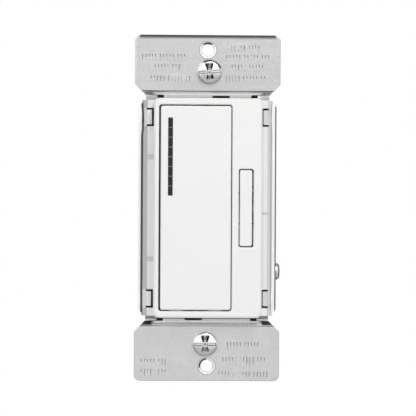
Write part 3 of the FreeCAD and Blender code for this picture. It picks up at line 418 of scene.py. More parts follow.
def strap_plating(name, colour, dark):
    """Satin zinc on the strap with rolling lines and stamps; its top, bends and marks painted in
    shade and highlight.
    """
    finish = Finish(name, colour, roughness=0.34, metallic=1.0)
    cloud = finish.noise(9.0, detail=3.0, roughness=0.55)
    along = finish.stretched(0.05, 1.0, 1.7)
    upward = finish.stretched(1.5, 1.0, 0.12)
    lines = finish.noise(0.5, detail=4.0, roughness=0.6, place=along)
    brushed = finish.noise(0.5, detail=3.0, roughness=0.6, place=upward)
    grain = finish.flakes(0.3)
    tone = finish.mix(0.35 * cloud + 0.25 * lines + 0.25 * brushed + 0.15 * grain, dark, colour)
    x, y, z = finish.axes()
    wide = abs(x)
    high = abs(z)
    below = z < 0

    # Painted shade: the upper ear a little darker, and darkest along its sheared top edge
    tone = finish.shade(0.16 * finish.rise(z, -20.0, 20.0), tone, 0.2)
    top_edge_shade = finish.rise(z, EAR_TOP - 1.2, EAR_TOP) * finish.rise(wide, EAR_SIDE, EAR_SIDE - 0.8)
    tone = finish.shade((0.9 + 0.2 * brushed) * top_edge_shade, tone, 0.05)

    # Each bend: painted shade in the crease, a painted highlight on the slope whose corners get
    # painted shade below, and a painted shadow past it. The lower bend lies a little further out
    further = 0.3 * below
    crease = finish.band(high - further, BEND_HEIGHT - 0.02, BEND_HEIGHT + 0.12, 0.14)
    crease = crease * (y < EAR_FRONT + 0.5) * (0.55 + 0.35 * finish.rise(wide, 12.0, 19.0))
    tone = finish.shade(crease, tone, 0.06)
    slope_start, slope_end = BEND_SLOPE
    slope = finish.band(high, slope_start, slope_end + further, 0.1) * (y < 0.6)
    corner = slope * finish.rise(wide, BEND_SLOPE_SIDE, BEND_SLOPE_SIDE + 1.0)
    slope_highlight = slope * (1 - corner)
    tone = finish.shade(slope_highlight, tone, 0.9)
    tone = finish.shade(0.9 * corner * below, tone, 0.05)
    shadow = finish.band(high, *NECK_SHADOW, 0.12) * (0.3 + 0.45 * below)
    tone = finish.shade(shadow, tone, 0.12)
    # Painted shade: the strap nearly black where it lies behind the faceplate
    shade_behind_faceplate = (y > 0.2) * (high < FACEPLATE_HALF)
    tone = finish.shade(0.9 * shade_behind_faceplate, tone, 0.01)

    # Floors of the stamped marks: painted shade in them, and rougher
    stamped = (y > EAR_FRONT + 0.03) * (y < EAR_FRONT + 0.4)
    stamped = stamped * (wide > MARK_CLEAR) * (wide < EAR_SIDE - 0.1)
    stamped = stamped * (high > BEND_HEIGHT + 2.0) * (high < EAR_TOP - 0.1)
    tone = finish.shade(0.42 * stamped, tone, 0.18)

    finish.feed("Base Color", plate_hole_rims(finish, tone, x, z))
    finish.feed("Metallic", 1 - 0.6 * slope_highlight)
    finish.feed("Roughness", 0.28 + 0.1 * lines + 0.06 * grain + 0.12 * stamped)
    finish.bump(lines, 0.004)
    finish.bump(grain, 0.004)
    return finish.material


def plate_hole_rims(finish, tone, x, z):
    """Bright rims of the plate holes as painted highlight, each with a painted shade arc and a
    painted shadow ring.
    """
    rim_inner = 1.8
    rim_outer = 2.5
    top = z > 0
    bottom = z < 0
    rise = z - PLATE_HOLE_HEIGHT * z.sign()
    reach = (x * x + rise * rise).root()
    rim = finish.band(reach, rim_inner, rim_outer, 0.1)
    tone = finish.mix(0.8 * rim, tone, (0.84, 0.84, 0.83))

    # The painted shade arc is at the top of the upper hole, and at the upper left of the lower one
    across = (top + 0.6 * bottom) * rise - 0.8 * bottom * x
    arc = finish.rise(across, 1.6 * top + 1.2 * bottom, 1.8 * top + 1.5 * bottom)
    arc = arc * finish.rise(reach, rim_outer, rim_outer - 0.14)
    tone = finish.shade(0.93 * arc, tone, 0.025)
    # A painted shadow ring just outside each rim
    ring = finish.band(reach, rim_outer + 0.1, rim_outer + 0.25, 0.1)
    return finish.shade(0.55 * ring, tone, 0.2)


def bright_screw(name, colour, dark, roughness=0.24, detail=None):
    """Bright plated metal with turning marks and a little handling wear."""
    finish = Finish(name, colour, roughness, metallic=1.0)
    scuffs = finish.noise(0.9, detail=4.0, roughness=0.6)
    wear = finish.ramp(scuffs, (0.38, 0.0), (0.66, 1.0))
    tone = finish.mix(wear, dark, colour)
    finish.feed("Base Color", detail(finish, tone) if detail else tone)
    finish.feed("Roughness", roughness - 0.04 + 0.14 * finish.noise(0.4, detail=3.0))
    finish.bump(finish.noise(0.12), 0.003)
    return finish.material


def box_screw_detail(finish, tone):
    """Painted highlight on each box screw's upper dome and painted shade below it, in its drive,
    slot and rim arc.
    """
    head_reach = 3.9
    cross_reach = 3.1
    cross_half = 1.6
    slot_start = 1.0
    slot_end = 3.3
    x, y, z = finish.axes()
    top = z > 0
    rise = z - BOX_SCREW_HEIGHT * z.sign()
    side = x - BOX_SCREW_SHIFT * z.sign()
    wide = abs(side)
    reach = (side * side + rise * rise).root()
    depth = y - (EAR_FRONT - BOX_HEAD_RISE)
    head = (y < EAR_FRONT + 0.05) * (reach < head_reach)
    # Painted highlight on the upper half of each head, and painted shade on its lower half
    tone = finish.mix(head * finish.rise(rise, -0.2, 0.5), tone, (0.98, 0.98, 0.97))
    tone = finish.shade(0.75 * head * finish.rise(rise, -0.4, -1.6), tone, 0.4)

    # Painted shade in the cross, most in its upper arm, and in the dimple at its middle
    drive = (y < EAR_FRONT + 0.3) * (reach < cross_reach) * (wide < cross_half)
    drive = finish.rise(depth, 0.14, 0.3) * drive
    upper = drive * finish.rise(rise, 0.35, 0.6) * (1 - 0.45 * finish.rise(wide, 0.45, 0.2))
    lower = drive * finish.rise(rise, -0.45, -0.7) * finish.rise(wide, 0.4, 0.6)
    lower = lower * (0.35 + 0.65 * top)
    dimple = drive * finish.rise(reach, 0.42, 0.25)
    recess_shade = 0.93 * upper + 0.9 * lower + 0.75 * dimple
    tone = finish.mix(recess_shade, tone, (0.025, 0.025, 0.027))

    # Painted shade on the edges and ends of the long slot, which is turned a little in the upper
    # screw
    level = abs(rise - 0.07 * top * side)
    shallow = depth < 0.7
    edges = (wide > slot_start) * (wide < slot_end) * shallow * (y < EAR_FRONT)
    edges = edges * finish.band(level, 0.24, 0.46, 0.08)
    ends = (wide > slot_end - 0.25) * (wide < slot_end + 0.05) * (level < 0.42) * shallow
    tone = finish.shade(0.7 * edges + 0.5 * ends, tone, 0.06)
    # A painted shade arc on the upper rim of each head, fainter on the lower screw
    arc = head * finish.rise(reach, 3.0, 3.15) * finish.rise(rise + 0.35 * side, 1.9, 2.4)
    return finish.shade(arc * (0.3 + 0.66 * top), tone, 0.03)


def side_screw_detail(finish, tone):
    """Painted shade round the outer rim of the head of each terminal screw."""
    z = finish.axis("Z")
    wide = abs(finish.axis("X"))
    for low, high in solid_boxes("terminal_screws"):
        rise = abs(z - (low.z + high.z) / 2)
        outer = max(abs(low.x), abs(high.x))
        crown = finish.band(wide, outer - 0.4, outer, 0.2) * (rise < 2.8)
        ends = finish.band(rise, 1.9, 2.8, 0.3) * finish.band(wide, outer - 1.9, outer, 0.1)
        tone = finish.shade(0.85 * crown + 0.6 * ends, tone, 0.06)
    return tone


def pressed_fibre(name, colour, dark):
    """Vulcanised fibre: short tangled fibres in a dark olive sheet."""
    finish = Finish(name, colour, roughness=0.75)
    upward = finish.stretched(1.0, 1.0, 0.35)
    strands = finish.noise(0.35, detail=5.0, roughness=0.7, place=upward)
    finish.feed("Base Color", finish.mix(strands, dark, colour))
    finish.bump(strands, 0.02)
    return finish.material


def smoked_window(name):
    """Smoked clear plastic in dark segments, with a paler line in each groove between them."""
    segments = 8
    groove = 0.3
    flange = 0.5
    gloss = 0.12
    finish = Finish(name, (0.03, 0.03, 0.033), gloss, fixed={"Specular IOR Level": 0.25})
    low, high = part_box("led_window")
    bottom = low.z / MM + flange
    pitch = (high.z / MM - flange - bottom) / segments
    steps = (finish.axis("Z") - bottom) * (1 / pitch)
    from_groove = abs((steps + 0.5).fraction() - 0.5) * pitch
    line = from_groove < groove / 2
    core = finish.noise(1.2)
    dark = finish.mix(core, (0.014, 0.014, 0.016), (0.026, 0.026, 0.028))
    finish.feed("Base Color", finish.mix(line, dark, (0.19, 0.19, 0.195)))
    finish.feed("Roughness", gloss + 0.4 * line)
    finish.bump(finish.noise(0.5), 0.002)
    return finish.material


def clear_guide(name):
    """Clear moulded comb with faint flow marks, which carries the light to the window."""
    finish = Finish(name, (0.9, 0.93, 0.94), 0.12, fixed={"Transmission Weight": 0.8})
    tone = finish.mix(finish.noise(2.0), (0.86, 0.9, 0.92), (0.94, 0.96, 0.97))
    finish.feed("Base Color", tone)
    finish.bump(finish.noise(0.8), 0.004)
    return finish.material


def circuit_board(name, colour, dark):
    """Green mask over glass cloth, with the copper fills showing a little lighter."""
    finish = Finish(name, colour, 0.35, fixed={"Coat Weight": 0.3})
    squares = {"Vector": finish.place, "Scale": 2.2}
    weave = finish.node("ShaderNodeTexChecker", {}, squares, "Fac")
    fills = finish.ramp(finish.noise(6.0, detail=1.0), (0.48, 0.0), (0.52, 1.0))
    finish.feed("Base Color", finish.mix(0.7 * fills + 0.1 * weave, dark, colour))
    finish.bump(weave, 0.004)
    finish.bump(fills, 0.02)
    return finish.material


def plain_coating(name, colour, dark, roughness, metallic=0.0):
    """Dipped, sleeved or moulded case of a small electrical part."""
    finish = Finish(name, colour, roughness, metallic)
    patches = finish.noise(1.8, detail=3.0)
    finish.feed("Base Color", finish.mix(patches, dark, colour))
    finish.feed("Roughness", roughness - 0.05 + 0.12 * patches)
    finish.bump(finish.noise(0.3), 0.01)
    return finish.material


FINISHES = {
    "strap_steel": strap_plating("zinc_plated_strap", (0.7, 0.7, 0.695), (0.44, 0.44, 0.44)),
    "faceplate_white": moulded_plastic(
        "white_faceplate", (0.9, 0.9, 0.895), 0.38, detail=skirt_detail
    ),
    "carrier_white": moulded_plastic("natural_carrier", (0.78, 0.78, 0.76), 0.5),
    "window_smoke": smoked_window("smoked_window"),
    "guide_clear": clear_guide("clear_guide"),
    "led_chip": plain_coating("light_chip", (0.85, 0.82, 0.6), (0.7, 0.66, 0.45), 0.4),
    "fibre_sheet": pressed_fibre("dark_fibre", (0.05, 0.044, 0.02), (0.018, 0.016, 0.008)),
    "switch_black": moulded_plastic("black_switch_base", (0.035, 0.035, 0.037), 0.5),
    "switch_cover": tinned_sheet("tinned_cover", (0.78, 0.78, 0.76), (0.6, 0.6, 0.58), 0.3),
    "plunger_plastic": moulded_plastic("dark_plunger", (0.1, 0.1, 0.1), 0.45),
    "board_green": circuit_board("green_board", (0.05, 0.26, 0.1), (0.02, 0.15, 0.06)),
    "header_black": moulded_plastic("black_header", (0.04, 0.04, 0.042), 0.5),
    "chip_black": moulded_plastic("chip_case", (0.045, 0.045, 0.05), 0.55),
    "film_red": plain_coating("dipped_film", (0.5, 0.12, 0.06), (0.4, 0.08, 0.04), 0.3),
    "can_sleeve": plain_coating("can_sleeve", (0.06, 0.08, 0.2), (0.04, 0.05, 0.14), 0.3),
    "varistor_blue": plain_coating("dipped_blue", (0.08, 0.2, 0.5), (0.05, 0.14, 0.4), 0.35),
    "choke_sleeve": plain_coating("choke_sleeve", (0.05, 0.05, 0.052), (0.03, 0.03, 0.03), 0.4),
    "resistor_body": plain_coating("resistor_coat", (0.3, 0.46, 0.5), (0.24, 0.38, 0.42), 0.5),
    "housing_white": moulded_plastic(
        "white_housing", (0.92, 0.92, 0.91), 0.48, texture=0.012, detail=flange_detail
    ),
    "screw_steel": bright_screw(
        "bright_zinc_screw", (0.76, 0.76, 0.75), (0.55, 0.55, 0.54), detail=box_screw_detail
    ),
    "terminal_brass": bright_screw("terminal_brass", (0.8, 0.6, 0.28), (0.6, 0.42, 0.18), 0.28),
    "clamp_steel": bright_screw(
        "clamp_steel", (0.72, 0.72, 0.7), (0.46, 0.46, 0.45), 0.3, detail=side_screw_detail
    ),
    "ground_green": plain_coating("green_screw", (0.04, 0.3, 0.1), (0.02, 0.18, 0.05), 0.3, 0.6),
}

NODE_SLOTS = {part["node"]: part["material_slot"] for part in frame["record"]["subparts"]}
NODE_BODIES = {
    node: body for body, nodes in frame["record"]["behaviour"]["bodies"].items() for node in nodes
}


def select_only(piece):
    """Select one piece alone and make it active."""
    bpy.ops.object.select_all(action="DESELECT")
    piece.select_set(True)
    bpy.context.view_layer.objects.active = piece


def start_edit(piece, mode="FACE"):
    """Edit mode with everything selected."""
    select_only(piece)
    bpy.ops.object.mode_set(mode="EDIT")
    bpy.ops.mesh.select_mode(type=mode)
    bpy.ops.mesh.select_all(action="SELECT")


def end_edit():
    """Back to object mode."""
    bpy.ops.object.mode_set(mode="OBJECT")


def pick_edges(piece, test, sharper_than=0.0):
    """In edit mode, select only the sharp enough edges whose two ends pass a test."""
    bpy.ops.mesh.select_mode(type="EDGE")
    bpy.ops.mesh.select_all(action="DESELECT")
    mesh = bmesh.from_edit_mesh(piece.data)
    for edge in mesh.edges:
        sharp = edge.is_manifold and edge.calc_face_angle() >= sharper_than
        if sharp and test(edge.verts[0].co / MM, edge.verts[1].co / MM):
            edge.select = True
    bmesh.update_edit_mesh(piece.data)


def pick_faces(piece, test):
    """In edit mode, select only the faces whose middle and normal pass a test."""
    bpy.ops.mesh.select_mode(type="FACE")
    bpy.ops.mesh.select_all(action="DESELECT")
    mesh = bmesh.from_edit_mesh(piece.data)
    for face in mesh.faces:
        if test(face.calc_center_median() / MM, face.normal):
            face.select = True
    bmesh.update_edit_mesh(piece.data)


def bevel_picked(width, segments, clamp_overlap=False):
    """In edit mode, round the selected edges by a width in millimetres."""
    bpy.ops.mesh.bevel(
        offset=width * MM, segments=segments, profile=0.5, affect="EDGES",
        clamp_overlap=clamp_overlap,
    )


def apply_modifier(piece, kind, **settings):
    """Add a modifier with its settings and apply it."""
    select_only(piece)
    modifier = piece.modifiers.new(kind.lower(), kind)
    for name, value in settings.items():
        setattr(modifier, name, value)
    bpy.ops.object.modifier_apply(modifier=modifier.name)


def round_edges(piece, width, segments):
    """Round every sharp edge by a width in millimetres."""
    apply_modifier(
        piece, "BEVEL", width=width * MM, segments=segments, limit_method="ANGLE",
        angle_limit=ROUND_ANGLE, use_clamp_overlap=False,
    )


def drop_slivers(piece):
    """Close up the faces and edges with no size, which a bevel can leave where edges meet."""
    start_edit(piece, "EDGE")
    bpy.ops.mesh.dissolve_degenerate(threshold=SLIVER)
    bpy.ops.mesh.select_all(action="DESELECT")
    bpy.ops.mesh.select_non_manifold()
    if piece.data.total_edge_sel:
        bpy.ops.mesh.merge(type="COLLAPSE")
        bpy.ops.mesh.select_all(action="SELECT")
        bpy.ops.mesh.dissolve_degenerate(threshold=SLIVER)
    end_edit()


def smooth(piece):
    """Smooth shading that leaves flat faces flat."""
    select_only(piece)
    bpy.ops.object.shade_smooth_by_angle(angle=SHARP_ANGLE)
    apply_modifier(piece, "WEIGHTED_NORMAL", keep_sharp=True, weight=80)


def merged_copy(node, name, whole_faces=True):
    """A clean mesh of a CAD node, with its flat faces made whole where that suits its rounding."""
    piece = bpy.data.objects.new(name, frame["nodes"][node].data.copy())
    bpy.context.scene.collection.objects.link(piece)
    start_edit(piece)
    bpy.ops.mesh.remove_doubles(threshold=WELD)
    if whole_faces:
        bpy.ops.mesh.dissolve_limited(angle_limit=FLAT_ANGLE)
    end_edit()
    return piece


def dress(piece, node):
    """Give a finished piece the body and finish of the CAD node that it stands for."""
    slot = NODE_SLOTS[node]
    piece.data.materials.clear()
    piece.data.materials.append(FINISHES[slot])
    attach(piece, NODE_BODIES[node])
    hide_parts(node)


def rounded_node(node, name, width, segments=2, whole_faces=True):
    """A node with its edges rounded as they come out of the tool."""
    piece = merged_copy(node, name, whole_faces)
    round_edges(piece, width, segments)
    drop_slivers(piece)
    smooth(piece)
    dress(piece, node)


def place_mesh(piece, point, along, turn):
    """Put a piece that was made along +Z at a point, so that it runs in a direction."""
    aim = Vector(along).to_track_quat("Z", "Y").to_matrix().to_4x4()
    spin = Matrix.Rotation(turn, 4, "Z")
    piece.matrix_world = Matrix.Translation(Vector(point) * MM) @ aim @ spin
    select_only(piece)
    bpy.ops.object.transform_apply(location=True, rotation=True, scale=True)


def join(pieces, name):
    """Make several pieces into one."""
    bpy.ops.object.select_all(action="DESELECT")
    for piece in pieces:
        piece.select_set(True)
    bpy.context.view_layer.objects.active = pieces[0]
    bpy.ops.object.join()
    pieces[0].name = name
    pieces[0].data.name = name
    return pieces[0]


def cut_with(piece, cutter):
    """Cut a closed piece away and remove the cutter."""
    apply_modifier(piece, "BOOLEAN", operation="DIFFERENCE", object=cutter, solver="EXACT")
    bpy.data.objects.remove(cutter)


def block(size, middle, turn=0.0):
    """Box of a size at a place, both in millimetres, turned about Z, to be shaped further."""
    bpy.ops.mesh.primitive_cube_add(size=1.0)
    made = bpy.context.object
    made.scale = Vector(size) * MM
    made.location = Vector(middle) * MM
    made.rotation_euler = (0, 0, turn)
    bpy.ops.object.transform_apply(location=True, rotation=True, scale=True)
    return made


def driver_wing(length, width, depth, floor, rise, turn=0.0):
    """Cutter for one slot or one pair of cross wings, narrower at its floor."""
    cutter = block((length, width, 2 * depth), (0, 0, -rise), turn)
    start_edit(cutter)
    pick_faces(cutter, lambda middle, normal: normal.z > FACING)
    bpy.ops.transform.resize(value=(floor, floor, 1.0))
    end_edit()
    return cutter


def flared_arm(reach, outer, inner, depth, rise, turn):
    """Cutter for one arm of a cross, wide at the rim, whose floor slopes down to the middle."""
    above = 0.2
    past = 0.15
    floor = (0.4, 0.45, 1.0)
    middle = ((reach - past) / 2, 0, -rise + (depth - above) / 2)
    cutter = block((reach + past, outer, depth + above), middle)
    start_edit(cutter)
    pick_faces(cutter, lambda middle, normal: normal.x < -FACING)
    bpy.ops.transform.resize(value=(1.0, inner / outer, 1.0))
    pick_faces(cutter, lambda middle, normal: normal.z > FACING)
    bpy.ops.transform.resize(value=floor, center_override=(0, 0, (depth - rise) * MM))
    end_edit()
    select_only(cutter)
    cutter.rotation_euler = (0, 0, turn)
    bpy.ops.object.transform_apply(location=True, rotation=True, scale=True)
    return cutter


def round_bar(width, length, start, sides):
    """Cylinder along Z from a start, in millimetres, to be shaped further."""
    bpy.ops.mesh.primitive_cylinder_add(
        vertices=sides, radius=width / 2 * MM, depth=length * MM,
        location=(0, 0, (start + length / 2) * MM),
    )
    bpy.ops.object.transform_apply(location=True)
    return bpy.context.object


def screw_head(width, rise, edge, cutters, sides=48):
    """Round head that stands below Z = 0 with a rounded rim and its driver recess."""
    crown_end = 0.6
    head = round_bar(width, rise, -rise, sides)
    start_edit(head)
    pick_edges(head, lambda a, b: max(a.z, b.z) < -rise * 0.99)
    bevel_picked(edge, 6)
    end_edit()
    for cutter in cutters:
        cut_with(head, cutter)
    start_edit(head, "EDGE")
    pick_edges(head, lambda a, b: max(a.z, b.z) < crown_end - rise, ROUND_ANGLE)
    bevel_picked(0.06, 2, clamp_overlap=True)
    end_edit()
    drop_slivers(head)
    return head


def threaded_shank(width, core, pitch, length, plain):
    """Core with a tapered tip and a helical ridge, along +Z."""
    sides = 24
    tip = width * 0.3
    shank = round_bar(core, length, 0.0, sides)
    start_edit(shank)
    pick_faces(shank, lambda middle, normal: normal.z > FACING)
    bpy.ops.mesh.inset(thickness=tip * 0.5 * MM)
    end_edit()

    def tip_rim(a, b):
        return min(a.z, b.z) > length * 0.99 and max(a.xy.length, b.xy.length) > core * 0.49

    start_edit(shank)
    pick_edges(shank, tip_rim)
    bpy.ops.transform.translate(value=(0, 0, -tip * 0.5 * MM))
    end_edit()
    ridge = helical_ridge(width, core, pitch, length - plain - tip, plain, sides)
    return join([shank, ridge], "shank")


def helical_ridge(width, core, pitch, length, start, sides):
    """Triangular thread wound on a core."""
    sunk = 0.1
    half_foot = pitch * 0.42
    bpy.ops.mesh.primitive_circle_add(vertices=3, radius=pitch * 0.5 * MM)
    ridge = bpy.context.object
    root = core / 2 - sunk
    corners = ((root, -half_foot), (width / 2, 0.0), (root, half_foot))
    for vertex, (radius, height) in zip(ridge.data.vertices, corners):
        vertex.co = Vector((radius, 0, start + pitch * 0.5 + height)) * MM
    turns = max(1, int(length / pitch) - 1)
    apply_modifier(
        ridge, "SCREW", axis="Z", screw_offset=pitch * MM, iterations=turns,
        steps=sides, render_steps=sides, use_merge_vertices=True, use_normal_calculate=True,
    )
    start_edit(ridge, "EDGE")
    bpy.ops.mesh.remove_doubles(threshold=WELD)
    bpy.ops.mesh.fill_holes(sides=3)
    bpy.ops.mesh.normals_make_consistent(inside=False)
    end_edit()
    return ridge


def placed_screws(head, shank, places, name, node):
    """A screw copied to (point, direction, turn) places, as one piece that stands for a node."""
    screw = join([head, shank], "screw")
    smooth(screw)
    copies = []
    for point, along, turn in places:
        copy = screw.copy()
        copy.data = screw.data.copy()
        bpy.context.scene.collection.objects.link(copy)
        place_mesh(copy, point, along, turn)
        copies.append(copy)
    bpy.data.objects.remove(screw)
    piece = join(copies, name) if len(copies) > 1 else copies[0]
    piece.name = name
    dress(piece, node)


def mounting_screws():
    """Combination heads: a long shallow slot, and a cross of flared arms that deepens inwards."""
    rise = BOX_HEAD_RISE
    cutters = [
        driver_wing(length=6.7, width=0.85, depth=0.42, floor=0.92, rise=rise),
        flared_arm(reach=3.1, outer=3.1, inner=1.3, depth=1.35, rise=rise, turn=math.pi / 2),
        flared_arm(reach=2.5, outer=2.7, inner=1.3, depth=1.35, rise=rise, turn=-math.pi / 2),
        driver_wing(length=2.6, width=1.2, depth=1.2, floor=0.4, rise=rise),
    ]
    head = screw_head(width=7.5, rise=rise, edge=1.0, cutters=cutters)
    shank = threaded_shank(width=3.5, core=2.8, pitch=0.794, length=25.4, plain=0.6)
    places = []
    for low, high in solid_boxes("mounting_screws"):
        middle = (low + high) / 2
        turn = math.radians(-4.0 if middle.z > 0 else 0.0)
        places.append(((middle.x, low.y + rise, middle.z), (0, 1, 0), turn))
    placed_screws(head, shank, places, "box_screws", "mounting_screws")


def side_screws():
    """Terminal screws with a plain slot and a cross."""
    rise = 1.9
    cutters = [
        driver_wing(length=4.4, width=0.9, depth=0.9, floor=0.95, rise=rise, turn=math.pi / 2),
        driver_wing(length=2.6, width=0.8, depth=1.2, floor=0.5, rise=rise),
    ]
    head = screw_head(width=5.4, rise=rise, edge=1.15, cutters=cutters)
    shank = threaded_shank(width=3.8, core=3.1, pitch=0.79, length=6.5, plain=0.8)
    places = []
    for low, high in solid_boxes("terminal_screws"):
        middle = (low + high) / 2
        side = 1 if middle.x > 0 else -1
        outer = high.x if side > 0 else low.x
        places.append(((outer - side * rise, middle.y, middle.z), (-side, 0, 0), 0.0))
    placed_screws(head, shank, places, "side_screws", "terminal_screws")


def back_screws():
    """Housing screws, which show only their cross-slotted heads."""
    rise = 1.6
    boxes = solid_boxes("housing_screws")
    length = boxes[0][1].y - boxes[0][0].y - rise
    cutters = [
        driver_wing(length=2.9, width=0.75, depth=1.1, floor=0.45, rise=rise, turn=turn)
        for turn in (0.0, math.pi / 2)
    ]
    head = screw_head(width=4.8, rise=rise, edge=0.7, cutters=cutters, sides=36)
    shank = threaded_shank(width=2.7, core=2.1, pitch=0.7, length=length, plain=12.0)
    places = []
    for low, high in boxes:
        middle = (low + high) / 2
        places.append(((middle.x, high.y - rise, middle.z), (0, -1, 0), 0.3))
    placed_screws(head, shank, places, "back_screws", "housing_screws")


def green_screw():
    """Ground screw with a slotted head."""
    rise = 1.8
    cutters = [
        driver_wing(length=6.0, width=1.0, depth=0.9, floor=0.97, rise=rise),
        driver_wing(length=3.4, width=0.9, depth=1.2, floor=0.5, rise=rise, turn=math.pi / 2),
    ]
    head = screw_head(width=6.4, rise=rise, edge=0.6, cutters=cutters)
    shank = threaded_shank(width=3.8, core=3.1, pitch=0.79, length=4.0, plain=0.3)
    low, high = solid_boxes("ground_screw")[0]
    middle = (low + high) / 2
    places = [((middle.x, middle.y, low.z + rise), (0, 0, 1), 0.2)]
    placed_screws(head, shank, places, "green_screw", "ground_screw")


def strap():
    """The strap with stamped gauge marks, rounded bends and broken edges."""
    piece = merged_copy("mounting_strap", "strap_plate")
    lengthen_neck_slots(piece)
    cut_with(piece, stamped_marks())

    def bend(a, b):
        across = abs(a.y - b.y) < NEAR and abs(a.z - b.z) < NEAR and abs(a.x - b.x) > 1.0
        on_face = min(abs(a.y - level) for level in STRAP_LEVELS) < NEAR
        between = 34.0 < abs(a.z) < 37.2
        return across and on_face and between

    def at_mark(point):
        beside = MARK_CLEAR < abs(point.x) < 20.8
        in_row = any(abs(point.z - height) < tall for _, _, height, tall in MARK_ROWS)
        return beside and in_row and point.y < EAR_FRONT + 2 * MARK_DEPTH

    start_edit(piece, "EDGE")
    pick_edges(piece, bend)
    bevel_picked(0.45, 4, clamp_overlap=True)
    pick_edges(piece, lambda a, b: not at_mark(a) and not at_mark(b), ROUND_ANGLE)
    bevel_picked(0.1, 2)
    end_edit()
    drop_slivers(piece)
    smooth(piece)
    dress(piece, "mounting_strap")


def lengthen_neck_slots(piece):
    """Move the outer ends of the neck slots a little further out."""
    for side in (1, -1):
        def slot_end(middle, normal):
            at_end = abs(side * middle.z - NECK_SLOT_END) < NEAR
            return at_end and side * normal.z < -FACING

        start_edit(piece)
        pick_faces(piece, slot_end)
        bpy.ops.transform.translate(value=(0, 0, side * NECK_SLOT_GROWTH * MM))
        end_edit()


def stamped_marks():
    """Cutters for rows of plain gauge marks in groups of five, in the free parts of both ears."""
    bars = []
    for start, count, height, tall in MARK_ROWS:
        for index in range(count):
            along = start + index * MARK_PITCH + index // MARK_GROUP * MARK_GROUP_GAP
            bar = block((MARK_WIDTH, 2 * MARK_DEPTH, tall), (along, EAR_FRONT, height))
            start_edit(bar)
            pick_faces(bar, lambda middle, normal: normal.y > FACING)
            bpy.ops.transform.resize(value=(0.45, 1.0, 0.97))
            end_edit()
            bars.append(bar)
    return join(bars, "marks")


def moulded_pieces():
    """Plastic and sheet pieces that show, with their tool radii."""
    rounded_node("faceplate_frame", "faceplate", 0.08, whole_faces=False)
    rounded_node("tap_paddle", "paddle_button", 0.08, whole_faces=False)
    rounded_node("dim_rocker", "rocker_button", 0.1)
    rounded_node("button_carrier", "carrier_plate", 0.06)
    rounded_node("led_window", "light_bar_window", 0.05)
    rounded_node("light_guide", "light_pipe_comb", 0.05)
    rounded_node("rear_housing", "housing_shell", 0.1, whole_faces=False)
    rounded_node("screw_retainers", "retaining_washers", 0.1)
    rounded_node("terminal_clamps", "clamp_plates", 0.12)
    rounded_node("ground_bracket", "ground_tab", 0.15, segments=3)
    for place in ("line", "traveler", "neutral"):
        rounded_node(f"{place}_terminal", f"{place}_contact", 0.1)


def finish_nodes():
    """Give every CAD node the finish of its slot."""
    for node, piece in frame["nodes"].items():
        for slot in piece.material_slots:
            slot.material = FINISHES[NODE_SLOTS[node]]


def studio_floor():
    """Pale round floor that fades to the white background at its rim."""
    fade_start = 0.45
    fade_end = 0.95
    bpy.ops.mesh.primitive_circle_add(
        vertices=96, radius=FLOOR_RADIUS, fill_type="NGON", location=(0, 0, FLOOR_HEIGHT)
    )
    floor = bpy.context.object
    floor.name = "studio_floor"
    finish = Finish("pale_floor", (0.9, 0.9, 0.9), 0.9)
    reach = finish.node(
        "ShaderNodeVectorMath", {"operation": "LENGTH"}, {0: finish.stretched(1, 1, 0)}, "Value"
    )
    radius = FLOOR_RADIUS / MM
    fade = finish.rise(reach, radius * fade_start, radius * fade_end)
    camera_ray = finish.node("ShaderNodeLightPath", {}, {}, "Is Camera Ray")
    white = finish.node("ShaderNodeEmission", {}, {"Color": (1, 1, 1, 1), "Strength": 1.0})
    plain = Value(finish, finish.shader.outputs[0])
    both = finish.node("ShaderNodeMixShader", {}, {0: fade * camera_ray, 1: plain, 2: white})
    surface = finish.tree.nodes["Material Output"].inputs["Surface"]
    finish.tree.links.new(both.socket, surface)
    floor.data.materials.append(finish.material)


def soft_light(name, place, size, power):
    """Square soft light that faces the object."""
    data = bpy.data.lights.new(name, "AREA")
    data.shape = "SQUARE"
    data.size = size
    data.energy = power
    light = bpy.data.objects.new(name, data)
    light.location = place
    light.rotation_euler = (-Vector(place)).to_track_quat("-Z", "Y").to_euler()
    bpy.context.scene.collection.objects.link(light)


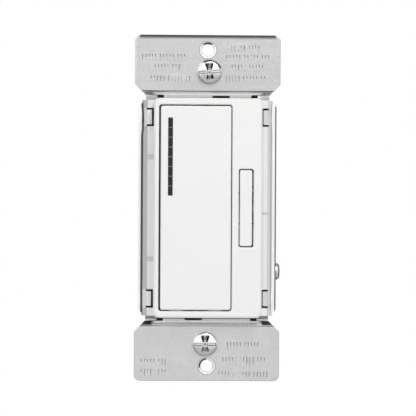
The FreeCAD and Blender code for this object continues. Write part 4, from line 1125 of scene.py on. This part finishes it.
def studio_light():
    """White surroundings and soft lights, the main one from the upper right."""
    world = bpy.data.worlds.new("studio")
    bpy.context.scene.world = world
    world.use_nodes = True
    tree = world.node_tree
    back = tree.nodes["Background"]
    back.inputs["Color"].default_value = (1, 1, 1, 1)
    path = tree.nodes.new("ShaderNodeLightPath")
    seen = path.outputs["Is Camera Ray"]
    for ray in ("Is Glossy Ray", "Is Transmission Ray"):
        either = tree.nodes.new("ShaderNodeMath")
        either.operation = "MAXIMUM"
        tree.links.new(seen, either.inputs[0])
        tree.links.new(path.outputs[ray], either.inputs[1])
        seen = either.outputs[0]
    level = tree.nodes.new("ShaderNodeMapRange")
    level.inputs["To Min"].default_value = WORLD_LEVEL
    level.inputs["To Max"].default_value = 1.0
    tree.links.new(seen, level.inputs["Value"])
    tree.links.new(level.outputs["Result"], back.inputs["Strength"])
    soft_light("key_light", place=(0.19, -0.48, 0.46), size=0.22, power=2.6)
    soft_light("fill_light", place=(-0.45, -0.7, 0.25), size=0.4, power=1.4)
    soft_light("back_light", place=(-0.3, 0.8, 0.5), size=0.5, power=4.5)


def photo_camera():
    """Long lens, level and a little to the left, framed as the photograph is."""
    data = bpy.data.cameras.new("photo_camera")
    data.sensor_width = SENSOR_MM
    data.lens = SENSOR_MM * CAMERA_DISTANCE / (PHOTO_WIDTH / PX_PER_MM * MM)
    data.clip_start = 0.01
    camera = bpy.data.objects.new("photo_camera", data)
    azimuth = Matrix.Rotation(CAMERA_AZIMUTH, 4, "Z")
    upright = azimuth @ Matrix.Rotation(math.pi / 2, 4, "X")
    place = Matrix.Translation(CAMERA_AIM + azimuth @ Vector((0, -CAMERA_DISTANCE, 0)))
    camera.matrix_world = place @ upright @ Matrix.Rotation(CAMERA_ROLL, 4, "Z")
    bpy.context.scene.collection.objects.link(camera)
    bpy.context.scene.camera = camera


finish_nodes()
moulded_pieces()
strap()
mounting_screws()
side_screws()
back_screws()
green_screw()
studio_floor()
studio_light()
photo_camera()
bpy.context.scene.view_settings.view_transform = "Standard"
